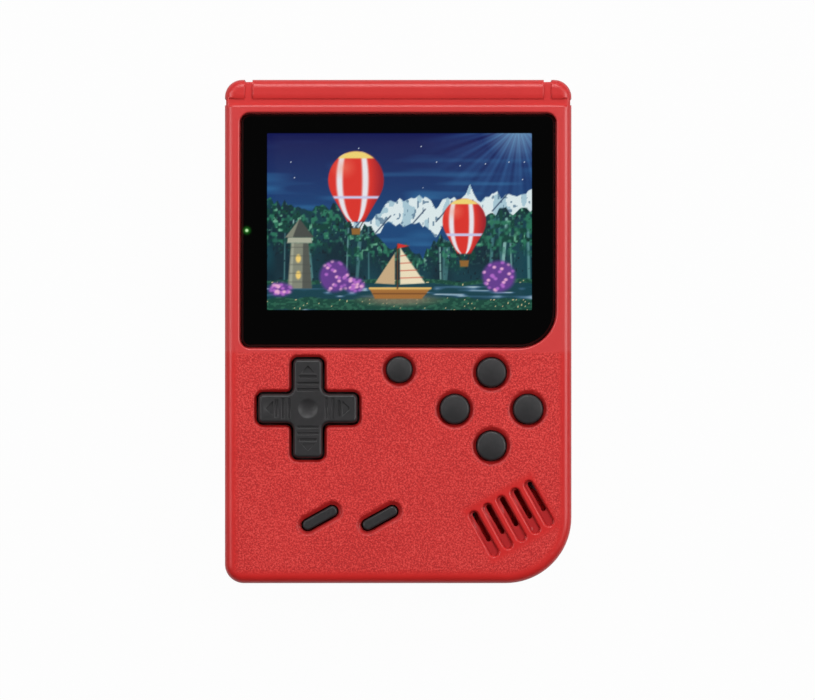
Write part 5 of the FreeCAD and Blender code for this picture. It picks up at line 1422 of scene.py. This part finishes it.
@dataclass
class Display:
    """The lens over the lit picture."""

    lens_round: float = 2.0
    lens_round_steps: int = 10
    grip_round: float = 8.4
    grip_round_steps: int = 24
    lens_edge: float = 0.5
    rim_slack: float = 0.01
    view_width: float = 61.1
    view_length: float = 40.8
    view_shift: float = 0.3
    view_rise: float = 2.05
    view_round: float = 0.25
    overscan: float = 0.8
    picture_lift: float = 0.04
    skirt_share: float = 0.9
    columns: int = 300
    rows: int = 200
    light_x: float = -34.9
    light_y: float = 23.3

    def build(self) -> None:
        """Build the pane and the picture under it."""
        self.build_lens()
        self.build_picture()

    def view_middle(self) -> tuple[float, float]:
        """Where the middle of the picture lies on the face."""
        return self.view_shift, middle_of("display_lens").y + self.view_rise

    def build_lens(self) -> bpy.types.Object:
        """Make a plate with three small corners and one large one, its front edge bevelled.

        Returns:
            The piece that stands for the lens.
        """
        low, high = corners("display_lens")
        middle = (low + high) / 2
        mesh = bmesh.new()
        flat_grid(mesh, 1, 1, (middle.x, middle.y, low.z), high.x - low.x, high.y - low.y)
        grip = [vert for vert in mesh.verts if vert.co.x > 0 and vert.co.y < middle.y]
        others = [vert for vert in mesh.verts if vert not in grip]
        bevel(mesh, grip, self.grip_round, self.grip_round_steps, "VERTICES", clamp=False)
        bevel(mesh, others, self.lens_round, self.lens_round_steps, "VERTICES", clamp=False)
        raise_faces(mesh, mesh.faces[:], high.z - low.z, keep=True)
        rim = high.z - self.rim_slack
        front = [edge for edge in mesh.edges if all(vert.co.z > rim for vert in edge.verts)]
        bevel(mesh, front, self.lens_edge, 1)
        bmesh.ops.recalc_face_normals(mesh, faces=mesh.faces)
        rounding = self.view_round
        view = Opening(*self.view_middle(), self.view_width / 2 - rounding, self.view_length / 2 - rounding,
                       rounding)
        finish = PrintedLens(view, (self.light_x, self.light_y))
        made = add_piece("lens_pane", mesh, finish.material())
        weigh_normals(made)
        return settle(made, body_holding("display_lens"), Slot.LENS, "display_lens")

    def build_picture(self) -> bpy.types.Object:
        """Lay a fine slab on the display's glass and colour it point by point.

        Returns:
            The piece that gives off the picture.
        """
        level = corners("lcd_glass")[1].z + self.picture_lift
        mesh = bmesh.new()
        flat_grid(mesh, self.columns, self.rows, (*self.view_middle(), level),
                  self.view_width + self.overscan * 2, self.view_length + self.overscan * 2)
        rim = [edge for edge in mesh.edges if edge.is_boundary]
        skirt = bmesh.ops.extrude_edge_only(mesh, edges=rim)["geom"]
        bmesh.ops.translate(mesh, vec=(0, 0, -self.picture_lift * self.skirt_share),
                            verts=[item for item in skirt if isinstance(item, bmesh.types.BMVert)])
        bmesh.ops.edgeloop_fill(mesh, edges=[edge for edge in mesh.edges if edge.is_boundary])
        bmesh.ops.recalc_face_normals(mesh, faces=mesh.faces)
        finish = LitScreen()
        made = add_piece("screen_picture", mesh, finish.material())
        self._colour(made, finish.attribute)
        return settle(made, body_holding("lcd_glass"), Slot.DISPLAY)

    def _colour(self, piece: bpy.types.Object, attribute: str) -> None:
        """Paint the landscape onto the piece's points.

        Args:
            piece: the slab.
            attribute: the name of the points' colours.
        """
        centre_x, centre_y = self.view_middle()
        spots = np.zeros(len(piece.data.vertices) * 3, np.float32)
        piece.data.vertices.foreach_get("co", spots)
        spots = spots.reshape(-1, 3).astype(float) / MM
        across = np.clip(spots[:, 0] - centre_x + self.view_width / 2, 0, self.view_width)
        up = np.clip(spots[:, 1] - centre_y + self.view_length / 2, 0, self.view_length)
        shades = NightValley(Painter(across, up), self.view_width, self.view_length).paint()
        rows = np.ones((len(shades), 4), np.float32)
        rows[:, :3] = as_light(shades)
        layer = piece.data.color_attributes.new(attribute, "FLOAT_COLOR", "POINT")
        layer.data.foreach_set("color", rows.ravel())


# The case

@dataclass
class Case:
    """The two mouldings, the battery cover and what stands in the openings of their sides."""

    openings: tuple[Opening, ...]
    cap_openings: int = 7
    face_edge: float = 0.55
    opening_edge: float = 0.4
    edge_depth: float = 0.45
    edge_steps: int = 4
    head_margin: float = 1.0
    face_crease: float = 28.0
    face_slices: int = 36
    back_edge: float = 0.15
    knob_edge: float = 0.08
    jack_edge: float = 0.12
    metal_edge: float = 0.06

    def shape(self) -> CaseShape:
        """Measure what the grain has to follow.

        Returns:
            The face's outline, its lens and its openings.
        """
        low, high = corners("display_lens")
        middle, half = (low + high) / 2, (high - low) / 2
        rounding = Display.lens_round
        lens = Opening(middle.x, middle.y, half.x - rounding, half.y - rounding, rounding)
        outline = CAD_BOX[1] / MM
        return CaseShape(right=outline.x, top=outline.y, face=corners("front_shell")[1].z, lens=lens,
                         lens_foot=low.y, lens_top=high.y, openings=self.openings)

    def build(self, finishes: Finishes) -> None:
        """Round and dress the case.

        Args:
            finishes: the material of each slot.
        """
        face = corners("front_shell")[1].z
        lens_top = corners("display_lens")[1].y
        SoftenedNode("front_shell", Slot.RED_SHELL, self.face_edge, self.opening_edge, self.edge_steps,
                     lowest=face - self.edge_depth, even=True, openings=self.openings[:self.cap_openings],
                     crisp_from=lens_top + self.head_margin, crease=self.face_crease,
                     slices=self.face_slices).build(finishes)
        for slot, edge, nodes in (
                (Slot.RED_SHELL, self.back_edge, ("rear_shell", "battery_cover")),
                (Slot.CHARCOAL, self.knob_edge, ("power_switch_knob", "volume_wheel")),
                (Slot.CHIP, self.jack_edge, ("av_jack",)),
                (Slot.STEEL, self.metal_edge, ("usb_socket", "case_screws", "volume_wheel_screw"))):
            for node in nodes:
                SoftenedNode(node, slot, edge).build(finishes)


# Studio

class LampName(Enum):
    """The studio's lamps."""

    KEY = "key_lamp"
    LEFT = "left_lamp"
    RIGHT = "right_lamp"


@dataclass(frozen=True)
class Lamp:
    """A soft square lamp that looks at the console."""

    name: LampName
    place: tuple[float, float, float]
    side: float
    power: float

    def hang(self) -> None:
        """Add the lamp to the scene."""
        data = bpy.data.lights.new(self.name.value, "AREA")
        data.size = self.side
        data.energy = self.power
        lamp = add_object(self.name.value, data)
        lamp.location = self.place
        lamp.rotation_mode = "QUATERNION"
        lamp.rotation_quaternion = (-Vector(self.place)).to_track_quat("-Z", "Y")


@dataclass
class Studio:
    """Pale floor, dim room, three lamps and the camera straight above."""

    floor_side: float = 3.0
    floor_gap: float = 0.1
    floor_light: Colour = Colour(165, 165, 165)
    floor_shade: Colour = Colour(160, 160, 160)
    floor_mottle: float = 300.0
    floor_roughness: float = 0.9
    floor_white: float = 0.975
    room_span: Span = (0.35, 0.95)
    room_level: float = 0.12
    zenith_level: float = 0.02
    photo_width: int = 815
    photo_height: int = 700
    pixels_per_mm: float = 4.3375
    console_x: float = 398.15
    console_y: float = 331.5
    camera_height: float = 1.4
    camera_reach: float = 10.0
    sensor: float = 36.0

    def build(self) -> None:
        """Build everything round the console."""
        self._floor()
        self._room()
        for lamp in (
            Lamp(LampName.KEY, (0.0, 0.6, 0.64), 0.35, 3.9),
            Lamp(LampName.LEFT, (-0.78, 0.18, 0.88), 0.32, 4.7),
            Lamp(LampName.RIGHT, (0.8, 0.14, 0.82), 0.32, 6.3),
        ):
            lamp.hang()
        self._camera()
        bpy.context.scene.view_settings.view_transform = "Standard"

    def _floor(self) -> None:
        """A pale floor just under the console that keeps a faint shadow."""
        mesh = bmesh.new()
        flat_grid(mesh, 1, 1, (0, 0, -self.floor_gap * MM), self.floor_side, self.floor_side)
        data = bpy.data.meshes.new("floor")
        mesh.to_mesh(data)
        mesh.free()
        graph = Graph("floor_white")
        spot = graph.place()[0]
        pale = graph.blend(graph.noise(spot, self.floor_mottle), self.floor_light, self.floor_shade)
        paint = graph.surface(Base_Color=pale, Roughness=self.floor_roughness)
        ways = [graph.node("ShaderNodeLightPath", output=way) for way in
                ("Is Camera Ray", "Is Glossy Ray", "Is Transmission Ray")]
        seen = ways[0].highest(ways[1]).highest(ways[2])
        white = graph.node("ShaderNodeEmission", None, {"Color": (1, 1, 1, 1), "Strength": 1.0})
        shader = graph.node("ShaderNodeMixShader", None, {0: seen * self.floor_white, 1: paint, 2: white})
        data.materials.append(graph.finish(shader))
        add_object("floor", data)

    def _room(self) -> None:
        """A soft room light, dimmer overhead so that the lens stays black."""
        graph = Graph("room", room=True)
        way = graph.node("ShaderNodeTexCoord", output="Generated")
        up = graph.node("ShaderNodeSeparateXYZ", None, {"Vector": way}, "Z")
        level = graph.node("ShaderNodeMapRange", None, {
            "Value": up, "From Min": self.room_span[0], "From Max": self.room_span[1],
            "To Min": self.room_level, "To Max": self.zenith_level})
        bpy.context.scene.world = graph.finish(graph.node("ShaderNodeBackground", None, {"Strength": level}))

    def _camera(self) -> None:
        """Look straight down with the console where the photograph has it."""
        data = bpy.data.cameras.new("camera")
        data.sensor_width = self.sensor
        data.lens = self.sensor * self.camera_height / (self.photo_width / self.pixels_per_mm * MM)
        data.clip_end = self.camera_reach
        camera = add_object("camera", data)
        camera.location = (
            (self.photo_width / 2 - self.console_x) / self.pixels_per_mm * MM,
            (self.console_y - self.photo_height / 2) / self.pixels_per_mm * MM,
            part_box("front_shell")[1].z + self.camera_height,
        )
        bpy.context.scene.camera = camera


def main() -> None:
    """Dress the console and set up the studio."""
    logging.basicConfig(level=logging.INFO, format="%(message)s")
    controls = Controls()
    case = Case(controls.openings())
    finishes = Finishes(case.shape())
    finishes.dress_frame()
    case.build(finishes)
    controls.build(finishes)
    Display().build()
    Studio().build()


if __name__ == "__main__":
    main()
